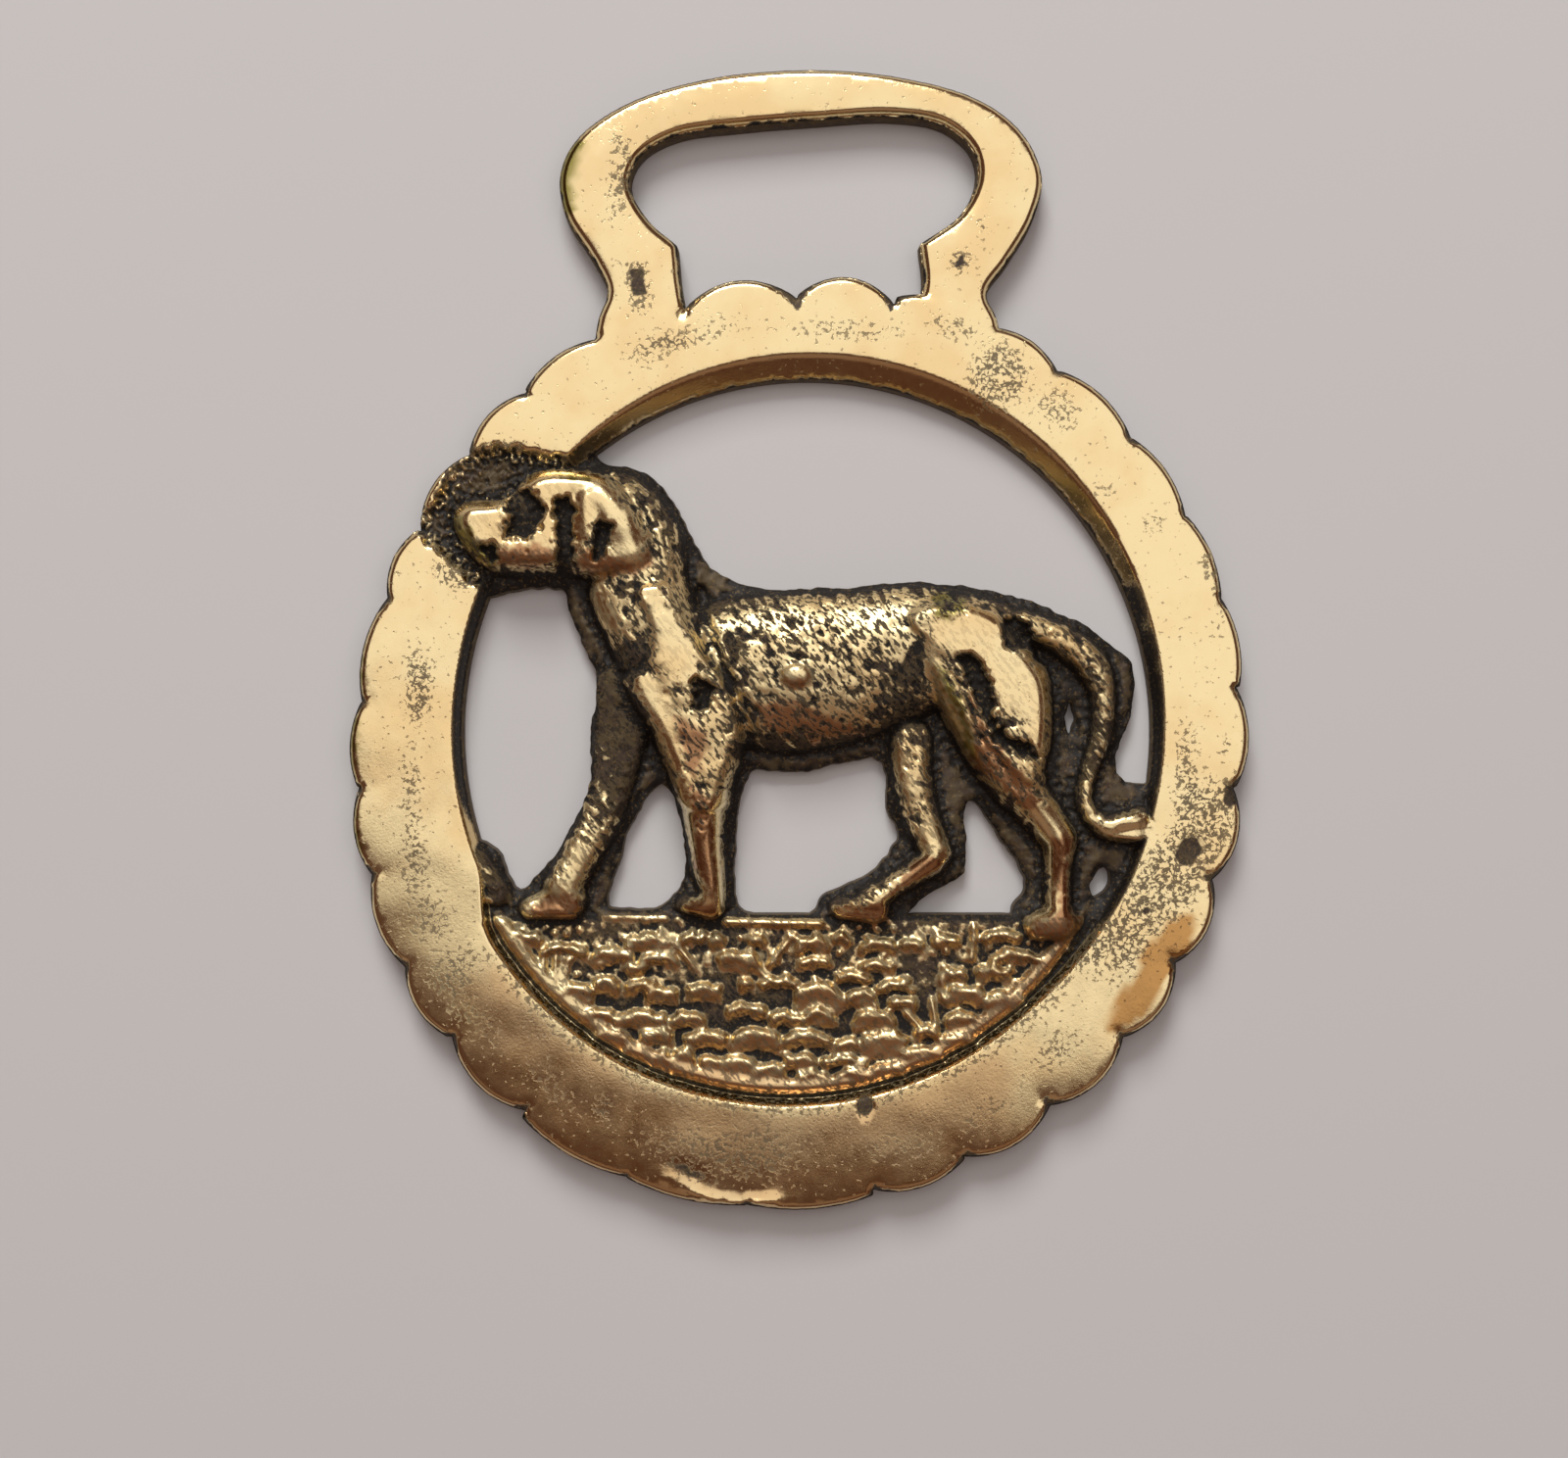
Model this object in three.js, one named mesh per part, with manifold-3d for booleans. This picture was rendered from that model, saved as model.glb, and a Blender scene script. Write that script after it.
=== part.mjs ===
// A cast horse brass: a scalloped ring with a strap hanger, pierced round a walking hound on a tufted mound.
// It lies on its flat back. Millimetres, +Z out of the face, +Y towards the hanger, +X to the right.
// Shapes are drawn about the ring's centre, and the last lines put the origin under the middle of the brass.

import * as THREE from "three";
import { mergeVertices } from "three/addons/utils/BufferGeometryUtils.js";
import Module from "manifold-3d";

const wasm = await Module();
wasm.setup();

// ---------- driving dimensions ----------

const ring = {
  outer: [34.6, 36.05], // half-axes of the outer edge, across and up
  outOfRound: [ // how the hand-trimmed edge wanders from that ellipse: [lobes, bearing of a lobe, amount]
    [2, 47, 0.5],
    [3, -13, 0.2],
  ],
  hole: { centre: [0.75, 1.0], half: [26.95, 27.5] }, // the pierced opening, at the back
  bevel: 0.6, // width of the slope inside the hole
  bevelExtra: 1.0, // how much wider that slope grows on its widest side
  bevelSide: 35, // the widest side, in degrees clockwise from the top
  wall: 1.5, // height of the upright wall inside the hole
  face: 2.9, // height of the polished face at its two edges
  crown: 3.2, // and at its middle
  edge: 2.1, // height of the outer wall
  round: 1.1, // width of the rounding between face and outer wall
  draft: 0.15, // how far the outer wall leans out towards the back
  peak: 0.2, // scallop tips stand this far outside the ellipse
  stepsPerScallop: 4,
};

// Hand-cut scallops, clockwise from the notch at the top: [width in degrees, depth].
const scallops = [
  [12.5, 1.6], [11.5, 0.9], [11, 0.9], [12.5, 0.7], [12, 0.6], [11.5, 0.5], [11.5, 0.5], [13, 0.8],
  [12.5, 1.1], [12, 1.1], [12, 1.1], [13, 1.1], [13, 1.1], [12.5, 0.9], [16, 0.4], [15, 0.3],
  [15, 0.4], [13.5, 1.1], [10.5, 0.8], [12.5, 0.8], [11.5, 0.8], [11, 0.6], [14, 0.7], [10, 0.8],
  [12, 1.0], [11, 0.9], [11, 0.6], [10.5, 0.6], [16, 1.9],
];

// The strap hanger, left foot to right foot. A station pairs a point of the outer edge with one of the slot.
const hanger = {
  stations: [
    [[-15.8, 30.6], [-8.4, 30.2]],
    [[-15.4, 33], [-8.6, 32.8]],
    [[-14.7, 35.2], [-9.1, 35.5]],
    [[-15.9, 37.8], [-9.4, 38.7]],
    [[-17.9, 41.0], [-11.6, 40.6]],
    [[-18.4, 44.0], [-13.1, 43.5]],
    [[-17.2, 46.8], [-12.2, 45.7]],
    [[-13.6, 49.5], [-9.4, 47.3]],
    [[-7.5, 51.5], [-4.5, 48.0]],
    [[0.3, 52.3], [1.5, 48.5]],
    [[7.5, 51.8], [7.2, 48.8]],
    [[14.0, 50.0], [11.3, 48.1]],
    [[17.4, 47.4], [13.6, 46.1]],
    [[18.9, 44.0], [14.0, 43.9]],
    [[18.2, 40.8], [12.6, 41.0]],
    [[16.2, 37.4], [9.5, 38.8]],
    [[14.6, 35.0], [9.8, 35.8]],
    [[15.4, 33], [9.2, 32.8]],
    [[15.8, 30.6], [9.0, 30.2]],
  ],
  cusps: [3, 15], // stations where the slot turns a sharp corner
  stepsPerStation: 3,
  face: 2.8,
  crown: 3.0,
  edge: 2.0,
  round: 0.8,
};

const plate = 1.6; // thickness of the backing plate that carries the hound
const plateOverlap = 3; // it reaches this far under the ring

// The plate is pierced here, so these are the spaces round the hound. Smooth closed outlines.
const gaps = {
  overBack: [
    [-16.4, 22.9], [-15.2, 21.7], [-12.8, 21.5], [-11, 20.5], [-9.6, 18.6], [-8.4, 16.2], [-7.2, 14],
    [-5.4, 12.8], [-3, 12.1], [2, 12.1], [9.5, 12.6], [14.5, 12.0], [19.5, 10.7], [23.5, 8.4], [26, 6.2],
    [26.1, 3.4], [25.3, 0.8], [24.8, -2.2], [26.2, -3.3], [29.2, -2], [29, 12], [23, 23], [10, 30.2],
    [-8, 30], [-19.5, 24.8],
  ],
  underMuzzle: [
    [-24.4, 11.4], [-21, 12.3], [-18.2, 12], [-17.7, 10], [-16.8, 8], [-15.7, 5.8], [-15.7, 3.5],
    [-16.1, 0.5], [-16, -2.5], [-17.6, -6.5], [-19.8, -9.8], [-21.7, -11.4], [-23.6, -8.2],
    [-26, -6.8], [-28.5, -2], [-28.5, 5], [-27, 10],
  ],
  betweenForelegs: [
    [-10.7, -3], [-12.4, -4.9], [-13.7, -7.8], [-14.6, -10.8], [-14.8, -12.6], [-12.5, -12.9], [-10.4, -12.6],
    [-8.9, -10.7], [-8.7, -8.5], [-9.3, -5],
  ],
  underBelly: [
    [-3.7, -2], [-4.7, -5], [-4.9, -8.5], [-4.8, -12.2], [-3.9, -13.3], [-1.3, -13.4], [1.3, -13.1], [2, -12],
    [3.6, -11.1], [5.6, -10], [7.3, -8.3], [8, -7], [7.2, -5], [6.9, -2.2], [6.2, -0.95], [4, -1.3],
    [1, -2], [-1.5, -2],
  ],
  betweenHindLegs: [
    [13.6, -4.4], [12.9, -5.6], [13, -9.7], [11.6, -10.9], [9.4, -12.1], [8.4, -13.4], [10.5, -13.9],
    [13.5, -14], [16.5, -13.8], [16.9, -12.5], [17.8, -11.1], [17.2, -9.3], [15.9, -7.2],
  ],
};

// Two small cast-through slits: centre, half-width, half-height, lean in degrees.
const slits = {
  behindHock: [23.6, -10.7, 0.75, 1.35, -22],
  besideTail: [21.3, 2.1, 0.32, 1.2, 0],
};

// The hound's modelling, as half-round bars over the plate: [x, y, half-width, height above the plate].
const hound = {
  trunk: [
    [-5.6, 6.2, 5, 2.9], [-1.5, 5.6, 6.1, 3.5], [4.5, 6.2, 5.7, 3.5], [9.5, 7.4, 4.9, 3.3],
    [14, 7.2, 4.3, 3.1],
  ],
  neck: [[-11.4, 15.4, 2.4, 2.6], [-12, 11.6, 3.6, 3.1], [-10.6, 7.6, 3.7, 3.4]],
  throat: [[-15, 12, 1.2, 2.3], [-14.3, 10, 1.3, 2.5], [-12.9, 8.2, 1.3, 2.5]],
  nape: [[-15, 19.2, 1.7, 2.4], [-12.3, 17.7, 1.9, 2.4], [-10.4, 14, 1.7, 2.2]],
  skull: [[-20.4, 16.6, 1.8, 1.3], [-16, 16.8, 3.2, 1.7]],
  brow: [[-20.7, 20.1, 0.7, 2.7], [-18, 20, 1, 3.2], [-15.4, 19.6, 1.4, 3.5]],
  muzzle: [[-25.3, 17.2, 1.5, 2.5], [-23.5, 16.5, 2.3, 3], [-21.4, 15.7, 1.9, 2.6]],
  jaw: [[-23.9, 15.2, 1.2, 2.2], [-21.6, 14.8, 1.15, 2.4], [-19.3, 14.9, 1.2, 2.4]],
  cheek: [[-19.4, 18.8, 0.85, 2.9], [-19.3, 16.6, 0.9, 2.9], [-19.3, 15, 0.95, 2.4]],
  earFront: [[-16.3, 18.9, 0.95, 3.7], [-16.3, 16.4, 1, 3.6], [-16.2, 14.2, 0.95, 3.1]],
  earBack: [[-15, 19.2, 1.4, 3.8], [-13.7, 17.2, 1.8, 4], [-12.9, 15, 1.6, 3.5]],
  farForeleg: [
    [-13.2, 4, 2.6, 1.3], [-14.1, -1, 1.9, 1.3], [-15.3, -5.5, 1.6, 1.7], [-17, -8.8, 1.5, 1.9],
    [-18.2, -11, 1.5, 2.1],
  ],
  farForepaw: [[-17.9, -12.1, 1.5, 2.2], [-20.8, -12.7, 0.8, 1.6]],
  shoulder: [[-10.2, 9.2, 1.8, 3.8], [-9.3, 4.8, 3, 4.1], [-7.5, 1, 3.1, 3.8]],
  nearForeleg: [[-7.5, 0.8, 2.7, 3.6], [-7.1, -3, 1.9, 3], [-7, -7, 1.25, 2.6], [-6.7, -11.6, 1, 2.4]],
  nearForepaw: [[-6.7, -12.5, 1.05, 2.3], [-8.6, -12.4, 0.7, 1.7]],
  farThigh: [[8.8, 0.4, 1.6, 1.6], [9, -3, 1.5, 1.8], [10, -6.6, 1.3, 2], [10.8, -8.4, 1.2, 2.2]],
  farHock: [[10.6, -8.9, 1.1, 2.3], [8, -10.6, 0.9, 2.2], [5.6, -12, 1, 2.2]],
  farHindpaw: [[5.9, -12.7, 1.2, 2.3], [3.4, -12.7, 0.8, 1.8]],
  haunch: [[12.9, 9.2, 2.6, 3.9], [15.4, 6.9, 3, 4.2], [17, 4, 2.4, 4.1], [17.7, 0.8, 1.7, 3.5]],
  flank: [
    [9.9, 9.2, 1.5, 3.6], [11, 6, 1.4, 3.7], [12.6, 2.6, 1.4, 3.5], [14.6, -0.6, 1.6, 3.3],
    [17, -3.4, 1.8, 3.1],
  ],
  nearThigh: [[16.6, -0.4, 2, 3.3], [17.6, -3.6, 1.8, 3.1], [19.3, -5.9, 1.5, 2.7], [20.4, -7.4, 1.3, 2.5]],
  nearHock: [[20.4, -7.4, 1.3, 2.5], [20.3, -10, 0.8, 2.2], [20.3, -12.4, 0.9, 2.2]],
  nearHindpaw: [[20.2, -13.7, 1.5, 2.4], [18.7, -14.1, 1.1, 1.9]],
  tail: [
    [17.4, 9.6, 0.9, 2.3], [20.6, 8.1, 1, 1.9], [22.8, 6.2, 1, 1.8], [23.8, 3.6, 0.85, 1.7],
    [23.5, 0.6, 0.75, 1.6], [22.6, -2.2, 0.65, 1.5], [22.3, -4.6, 0.6, 1.5], [23.6, -6.3, 0.8, 1.6],
    [26.2, -6.4, 1.1, 1.6],
  ],
  web: [[-26.3, -7.4, 0.8, 0.9], [-24.9, -9.6, 1.2, 1.1], [-23.4, -11.6, 1, 0.9]], // a lump by the far paw
};
// How finely the bars are cut: flats round one, length between sections, and the angles that round its ends.
const limbCut = { sides: 7, step: 2, ends: [40, 75] };
const trimCut = { sides: 3, step: 2.4, ends: [60] };
const sink = 0.6; // bars and tufts reach this far down into what carries them

const mound = {
  centre: [-0.75, -0.8], // of the arc that bounds the mound below
  radius: 26.4,
  groundLine: -13.3, // its level top
  top: 2.0,
  border: { inset: 0.7, halfWidth: 0.55, height: 0.5, steps: 9 }, // a smooth bar along the arc
  ledges: [ // thin bars on the ground line between the paws
    [[-15.1, -13.3], [-10.2, -13.4]],
    [[-5.6, -13.7], [1.8, -13.9]],
  ],
  ledge: { halfWidth: 0.35, height: 0.6 },
  firstRow: -14.7,
  rows: 7,
  rowPitch: 1.85,
  tuft: { halfWidth: 1.3, pitch: 2.9, rise: 1.45, lip: 0.65, segments: 5, jitter: 0.3 },
};

// The ring is cast lower behind the muzzle: centre, half-axes, floor.
const muzzleBed = { centre: [-23.7, 17.7], half: [4.9, 5.1], floor: 2.1 };

const brass = new THREE.MeshStandardMaterial({ color: 0xc9a24e, roughness: 0.3, metalness: 1 });

// ---------- solids from loops of points ----------

const radians = THREE.MathUtils.degToRad;
const lerp = THREE.MathUtils.lerp;

function solid(geometry) {
  const bare = new THREE.BufferGeometry();
  bare.setAttribute("position", geometry.getAttribute("position"));
  if (geometry.index) bare.setIndex(geometry.index);
  const merged = mergeVertices(bare, 1e-4);
  return new wasm.Manifold(
    new wasm.Mesh({
      numProp: 3,
      vertProperties: merged.attributes.position.array,
      triVerts: new Uint32Array(merged.index.array),
    }),
  );
}

// Joins equal loops of points into a closed skin. A loop runs anticlockwise as seen from the loop after it.
function loft(loops, endless) {
  const sides = loops[0].length;
  const positions = loops.flat(2);
  const faces = [];
  const spans = endless ? loops.length : loops.length - 1;
  for (let i = 0; i < spans; i++) {
    const here = i * sides;
    const next = ((i + 1) % loops.length) * sides;
    for (let j = 0; j < sides; j++) {
      const k = (j + 1) % sides;
      faces.push(here + j, here + k, next + k, here + j, next + k, next + j);
    }
  }
  if (!endless) {
    const last = (loops.length - 1) * sides;
    for (let j = 1; j < sides - 1; j++) {
      faces.push(0, j + 1, j);
      faces.push(last, last + j, last + j + 1);
    }
  }
  const geometry = new THREE.BufferGeometry();
  geometry.setAttribute("position", new THREE.Float32BufferAttribute(positions, 3));
  geometry.setIndex(faces);
  return solid(geometry);
}

function slab(shape, thickness, curveSegments = 3) {
  return solid(new THREE.ExtrudeGeometry(shape, { depth: thickness, bevelEnabled: false, curveSegments }));
}

// A smooth closed outline through a few points.
function roundOutline(points, steps) {
  const curve = new THREE.CatmullRomCurve3(
    points.map(([x, y]) => new THREE.Vector3(x, y, 0)),
    true,
    "centripetal",
  );
  return new THREE.Shape(curve.getPoints(steps).slice(0, steps).map((p) => new THREE.Vector2(p.x, p.y)));
}

function ellipseShape([x, y], [a, b], lean = 0) {
  return new THREE.Shape().absellipse(x, y, a, b, 0, 2 * Math.PI, false, radians(lean));
}

// ---------- ring ----------

// Where a ray at a bearing, clockwise from the top, leaves an ellipse.
function ellipseReach(bearing, [cx, cy], [a, b]) {
  const [dx, dy] = [Math.sin(bearing), Math.cos(bearing)];
  const A = (dx / a) ** 2 + (dy / b) ** 2;
  const B = (-2 * cx * dx) / a ** 2 + (-2 * cy * dy) / b ** 2;
  const C = (cx / a) ** 2 + (cy / b) ** 2 - 1;
  return (-B + Math.sqrt(B * B - 4 * A * C)) / (2 * A);
}

function outerReach(bearing, depth, share) {
  const bulge = Math.sin(Math.PI * share) ** 0.8;
  let reach = ellipseReach(bearing, [0, 0], ring.outer) + ring.peak - depth * (1 - bulge);
  for (const [lobes, towards, amount] of ring.outOfRound) {
    reach += amount * Math.cos(lobes * (bearing - radians(towards)));
  }
  return reach;
}

// Inside, the hole's edge above the ground line gives way to the mound's arc below it.
function innerReach(bearing) {
  const hole = ellipseReach(bearing, ring.hole.centre, ring.hole.half);
  const arc = ellipseReach(bearing, mound.centre, [mound.radius, mound.radius]) + 0.5;
  const below = THREE.MathUtils.smoothstep(-Math.cos(bearing), 0.35, 0.55);
  return lerp(hole, Math.max(hole, arc) - 0.2, below);
}

function ringSection(bearing, depth, share) {
  const inner = innerReach(bearing);
  const outer = outerReach(bearing, depth, share);
  const widest = Math.max(0, Math.cos(bearing - radians(ring.bevelSide)));
  const faceIn = inner + ring.bevel + ring.bevelExtra * widest;
  const faceOut = outer - ring.round;
  const profile = [
    [outer + ring.draft, 0],
    [outer, ring.edge],
    [faceOut, ring.face],
    [lerp(faceIn, faceOut, 0.5), ring.crown],
    [faceIn, ring.face],
    [inner, ring.wall],
    [inner, 0],
  ];
  return profile.map(([r, z]) => [r * Math.sin(bearing), r * Math.cos(bearing), z]);
}

function scallopedRing() {
  const sections = [];
  let start = 0;
  for (const [span, depth] of scallops) {
    for (let i = 0; i < ring.stepsPerScallop; i++) {
      const share = i / ring.stepsPerScallop;
      sections.push(ringSection(radians(start + span * share), depth, share));
    }
    start += span;
  }
  return loft(sections, true);
}

// ---------- hanger ----------

// A smooth line through one side of the hanger's stations, with a sharp corner at each cusp.
function hangerLine(side, cusps) {
  const points = hanger.stations.map((pair) => new THREE.Vector3(...pair[side], 0));
  const ends = [0, ...cusps, points.length - 1];
  const line = [];
  for (let i = 0; i < ends.length - 1; i++) {
    const stretch = points.slice(ends[i], ends[i + 1] + 1);
    const curve = new THREE.CatmullRomCurve3(stretch, false, "centripetal");
    const steps = (stretch.length - 1) * hanger.stepsPerStation;
    for (let k = i ? 1 : 0; k <= steps; k++) line.push(curve.getPoint(k / steps));
  }
  return line;
}

function strapHanger() {
  const outside = hangerLine(0, []);
  const slot = hangerLine(1, hanger.cusps);
  const sections = outside.map((o, i) => {
    const s = slot[i];
    const width = o.distanceTo(s);
    const across = (d) => s.clone().lerp(o, d / width);
    const profile = [
      [width, 0],
      [width, hanger.edge],
      [width - hanger.round, hanger.face],
      [width / 2, hanger.crown],
      [hanger.round, hanger.face],
      [0, hanger.edge],
      [0, 0],
    ];
    return profile.map(([d, z]) => [across(d).x, across(d).y, z]);
  });
  return loft(sections, false);
}

// ---------- plate, hound and mound ----------

function piercedPlate() {
  const { centre, half } = ring.hole;
  let made = slab(ellipseShape(centre, half.map((h) => h + plateOverlap)), plate, 24);
  for (const outline of Object.values(gaps)) {
    const hole = slab(roundOutline(outline, outline.length * 2), plate + 2).translate([0, 0, -1]);
    made = made.subtract(hole);
  }
  for (const [x, y, a, b, lean] of Object.values(slits)) {
    made = made.subtract(slab(ellipseShape([x, y], [a, b], lean), plate + 2, 8).translate([0, 0, -1]));
  }
  return made;
}

// A half-round bar through its stations, with rounded ends, standing on a floor height.
function bead(stations, floor, cut) {
  const centres = stations.map(([x, y]) => new THREE.Vector3(x, y, 0));
  const widthsAndHeights = stations.map(([, , w, h]) => new THREE.Vector3(w, h, 0));
  const line = new THREE.CatmullRomCurve3(centres, false, "centripetal");
  const sizes = new THREE.CatmullRomCurve3(widthsAndHeights, false, "centripetal");
  const steps = Math.max(2, Math.round(line.getLength() / cut.step));
  const places = [];
  for (let i = 0; i <= steps; i++) {
    const t = i / steps;
    const [at, along, size] = [line.getPoint(t), line.getTangent(t), sizes.getPoint(t)];
    places.push({ at, along, size, shrink: 1, push: 0 });
  }
  const [first, last] = [places[0], places[steps]];
  for (const angle of cut.ends.map(radians)) {
    const [shrink, push] = [Math.cos(angle), Math.sin(angle)];
    places.unshift({ ...first, shrink, push: -push });
    places.push({ ...last, shrink, push });
  }
  const loops = places.map(({ at, along, size, shrink, push }) => {
    const [w, h] = [size.x * shrink, size.y * shrink];
    const centre = at.clone().addScaledVector(along, push * size.x);
    const point = (d, z) => [centre.x - along.y * d, centre.y + along.x * d, z];
    const loop = [point(w, floor - sink)];
    for (let j = 0; j <= cut.sides; j++) {
      const a = (Math.PI * j) / cut.sides;
      loop.push(point(w * Math.cos(a), floor + h * Math.sin(a)));
    }
    loop.push(point(-w, floor - sink));
    return loop;
  });
  return loft(loops, false);
}

// A tuft is a half disc that leans back: proud along its arch and level with the mound along its foot.
function tuft(x, y, size) {
  const { rise, lip, segments } = mound.tuft;
  const outline = [[x, y - rise, 0.05]];
  for (let k = 0; k <= segments; k++) {
    const a = (Math.PI * k) / segments;
    outline.push([x + size * Math.cos(a), y - rise + rise * Math.sin(a), lip * (0.3 + 0.7 * Math.sin(a))]);
  }
  const under = outline.map(([u, v]) => [u, v, mound.top - sink]);
  const over = outline.map(([u, v, z]) => [u, v, mound.top + z]);
  return loft([under, over], false);
}

// The mound below the ground line, with its border, its ledges and staggered rows of tufts.
function tuftedMound() {
  const [cx, cy] = mound.centre;
  const { border, ledge, radius } = mound;
  const halfAngle = Math.acos((cy - mound.groundLine) / radius);
  const shape = new THREE.Shape().absarc(cx, cy, radius, -Math.PI / 2 - halfAngle, -Math.PI / 2 + halfAngle);
  const pieces = [slab(shape, mound.top, 24)];
  const rim = [];
  for (let k = 0; k <= border.steps; k++) {
    const a = halfAngle * 0.97 * ((2 * k) / border.steps - 1) - Math.PI / 2;
    const r = radius - border.inset;
    rim.push([cx + r * Math.cos(a), cy + r * Math.sin(a), border.halfWidth, border.height]);
  }
  pieces.push(bead(rim, mound.top, trimCut));
  for (const ends of mound.ledges) {
    const bar = ends.map(([x, y]) => [x, y, ledge.halfWidth, ledge.height]);
    pieces.push(bead(bar, mound.top, trimCut));
  }
  const { halfWidth, pitch, rise, jitter } = mound.tuft;
  for (let row = 0; row < mound.rows; row++) {
    const y = mound.firstRow - row * mound.rowPitch;
    const reach = Math.sqrt((radius - border.inset) ** 2 - (y - rise - cy) ** 2) - halfWidth;
    const stagger = (row % 2) / 2;
    const last = Math.floor(reach / pitch - stagger);
    for (let n = Math.ceil(-reach / pitch - stagger); n <= last; n++) {
      const sway = jitter * Math.sin(7 * n + 11 * row);
      const lift = 0.6 * jitter * Math.cos(5 * n + 3 * row);
      pieces.push(tuft(cx + (n + stagger) * pitch + sway, y + lift, halfWidth * (1 + 0.5 * sway)));
    }
  }
  return pieces;
}

function hollowForMuzzle(body) {
  const { centre, half, floor } = muzzleBed;
  const cutter = slab(ellipseShape(centre, half), 5, 24).translate([0, 0, floor]);
  return body.subtract(cutter);
}

// ---------- the casting ----------

function casting() {
  const frame = hollowForMuzzle(scallopedRing().add(strapHanger()));
  const limbs = Object.values(hound).map((stations) => bead(stations, plate, limbCut));
  return wasm.Manifold.union([frame, piercedPlate(), ...tuftedMound(), ...limbs]);
}

function geometryOf(body) {
  const { vertProperties, triVerts } = body.getMesh();
  const geometry = new THREE.BufferGeometry();
  geometry.setAttribute("position", new THREE.BufferAttribute(vertProperties, 3));
  geometry.setIndex(new THREE.BufferAttribute(triVerts, 1));
  geometry.computeBoundingBox();
  const middle = geometry.boundingBox.getCenter(new THREE.Vector3());
  geometry.translate(-middle.x, -middle.y, -geometry.boundingBox.min.z);
  geometry.computeVertexNormals();
  return geometry;
}

const horseBrass = new THREE.Mesh(geometryOf(casting()), brass);
horseBrass.name = "horse_brass";

const group = new THREE.Group();
group.add(horseBrass);

export default group;
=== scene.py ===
import math

import bpy
import numpy as np
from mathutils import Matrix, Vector
from mathutils.geometry import delaunay_2d_cdt


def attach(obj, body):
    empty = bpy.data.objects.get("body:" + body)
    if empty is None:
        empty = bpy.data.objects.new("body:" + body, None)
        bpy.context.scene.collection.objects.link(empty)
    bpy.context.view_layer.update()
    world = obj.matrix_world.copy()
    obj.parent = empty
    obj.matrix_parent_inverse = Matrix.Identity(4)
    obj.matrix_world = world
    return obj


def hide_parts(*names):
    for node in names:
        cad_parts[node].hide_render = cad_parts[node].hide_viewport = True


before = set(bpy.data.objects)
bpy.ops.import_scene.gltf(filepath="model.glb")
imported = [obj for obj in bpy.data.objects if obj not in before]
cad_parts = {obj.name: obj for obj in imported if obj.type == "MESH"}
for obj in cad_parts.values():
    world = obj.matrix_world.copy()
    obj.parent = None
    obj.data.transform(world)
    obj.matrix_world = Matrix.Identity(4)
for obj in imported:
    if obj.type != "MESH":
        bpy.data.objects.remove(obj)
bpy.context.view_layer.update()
mm = 0.001

# Shapes are drawn in millimetres about the ring's centre, +Y towards the hanger and +Z out of the face.
# They are worked out on a fine sheet of heights, and the casting's mesh is lifted from it.

sheet = {"step": 0.08, "left": -36.6, "right": 36.8, "bottom": -37.8, "top": 53.8}
columns = np.arange(sheet["left"], sheet["right"], sheet["step"])
rows = np.arange(sheet["bottom"], sheet["top"], sheet["step"])
across, up = np.meshgrid(columns, rows)
nowhere = -5  # the height where a form isn't
thinnest = 1.0  # the least height of the casting's front


def ramp(low, high, value):
    t = np.clip((value - low) / (high - low), 0, 1)
    return t * t * (3 - 2 * t)


def softMax(a, b, reach):  # the higher of two heights, with a fillet where they meet
    near = np.maximum(reach - np.abs(a - b), 0) / reach
    return np.maximum(a, b) + near * near * reach / 4


def softMin(a, b, reach):
    return -softMax(-a, -b, reach)


def window(left, right, bottom, top):  # the part of the sheet that a box covers
    step = sheet["step"]
    j0 = max(int((left - sheet["left"]) / step), 0)
    j1 = min(int((right - sheet["left"]) / step) + 2, len(columns))
    i0 = max(int((bottom - sheet["bottom"]) / step), 0)
    i1 = min(int((top - sheet["bottom"]) / step) + 2, len(rows))
    return np.s_[i0:i1, j0:j1]


def sample(field, points):  # a field's values at free points
    x = np.clip((points[:, 0] - sheet["left"]) / sheet["step"], 0, len(columns) - 2)
    y = np.clip((points[:, 1] - sheet["bottom"]) / sheet["step"], 0, len(rows) - 2)
    j, i = x.astype(int), y.astype(int)
    s, t = x - j, y - i
    low = field[i, j] * (1 - s) + field[i, j + 1] * s
    high = field[i + 1, j] * (1 - s) + field[i + 1, j + 1] * s
    return low * (1 - t) + high * t


frequencies = np.meshgrid(
    np.fft.rfftfreq(len(columns), sheet["step"]), np.fft.fftfreq(len(rows), sheet["step"])
)
frequencySquared = frequencies[0] ** 2 + frequencies[1] ** 2


def blur(field, radius):
    kept = np.exp(-2 * (math.pi * radius) ** 2 * frequencySquared)
    return np.fft.irfft2(np.fft.rfft2(field) * kept, field.shape)


def strokes(angle, length, width, seed):  # noise of about -3 to 3, with its lumps drawn out one way
    noise = np.fft.rfft2(np.random.default_rng(seed).standard_normal(across.shape))
    c, s = math.cos(math.radians(angle)), math.sin(math.radians(angle))
    along = length * (frequencies[0] * c + frequencies[1] * s)
    beside = width * (frequencies[1] * c - frequencies[0] * s)
    fade = -2 * math.pi**2 * (along**2 + beside**2)
    made = np.fft.irfft2(noise * (np.exp(fade) - np.exp(4 * fade)), across.shape)
    return made / made.std()


def grain(size, seed):  # noise with round lumps of one size
    return strokes(0, size / 2, size / 2, seed)


def blob(x, y, a, b, lean=0.0):  # 1 in the middle of an ellipse, falling away past its edge
    return np.exp(-(ellipseField(x, y, a, b, lean) ** 4) * 0.7)


def tally(ellipses):  # (x, y, half-width, half-height, lean, amount) each
    return sum(amount * blob(*ellipse) for *ellipse, amount in ellipses)


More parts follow.
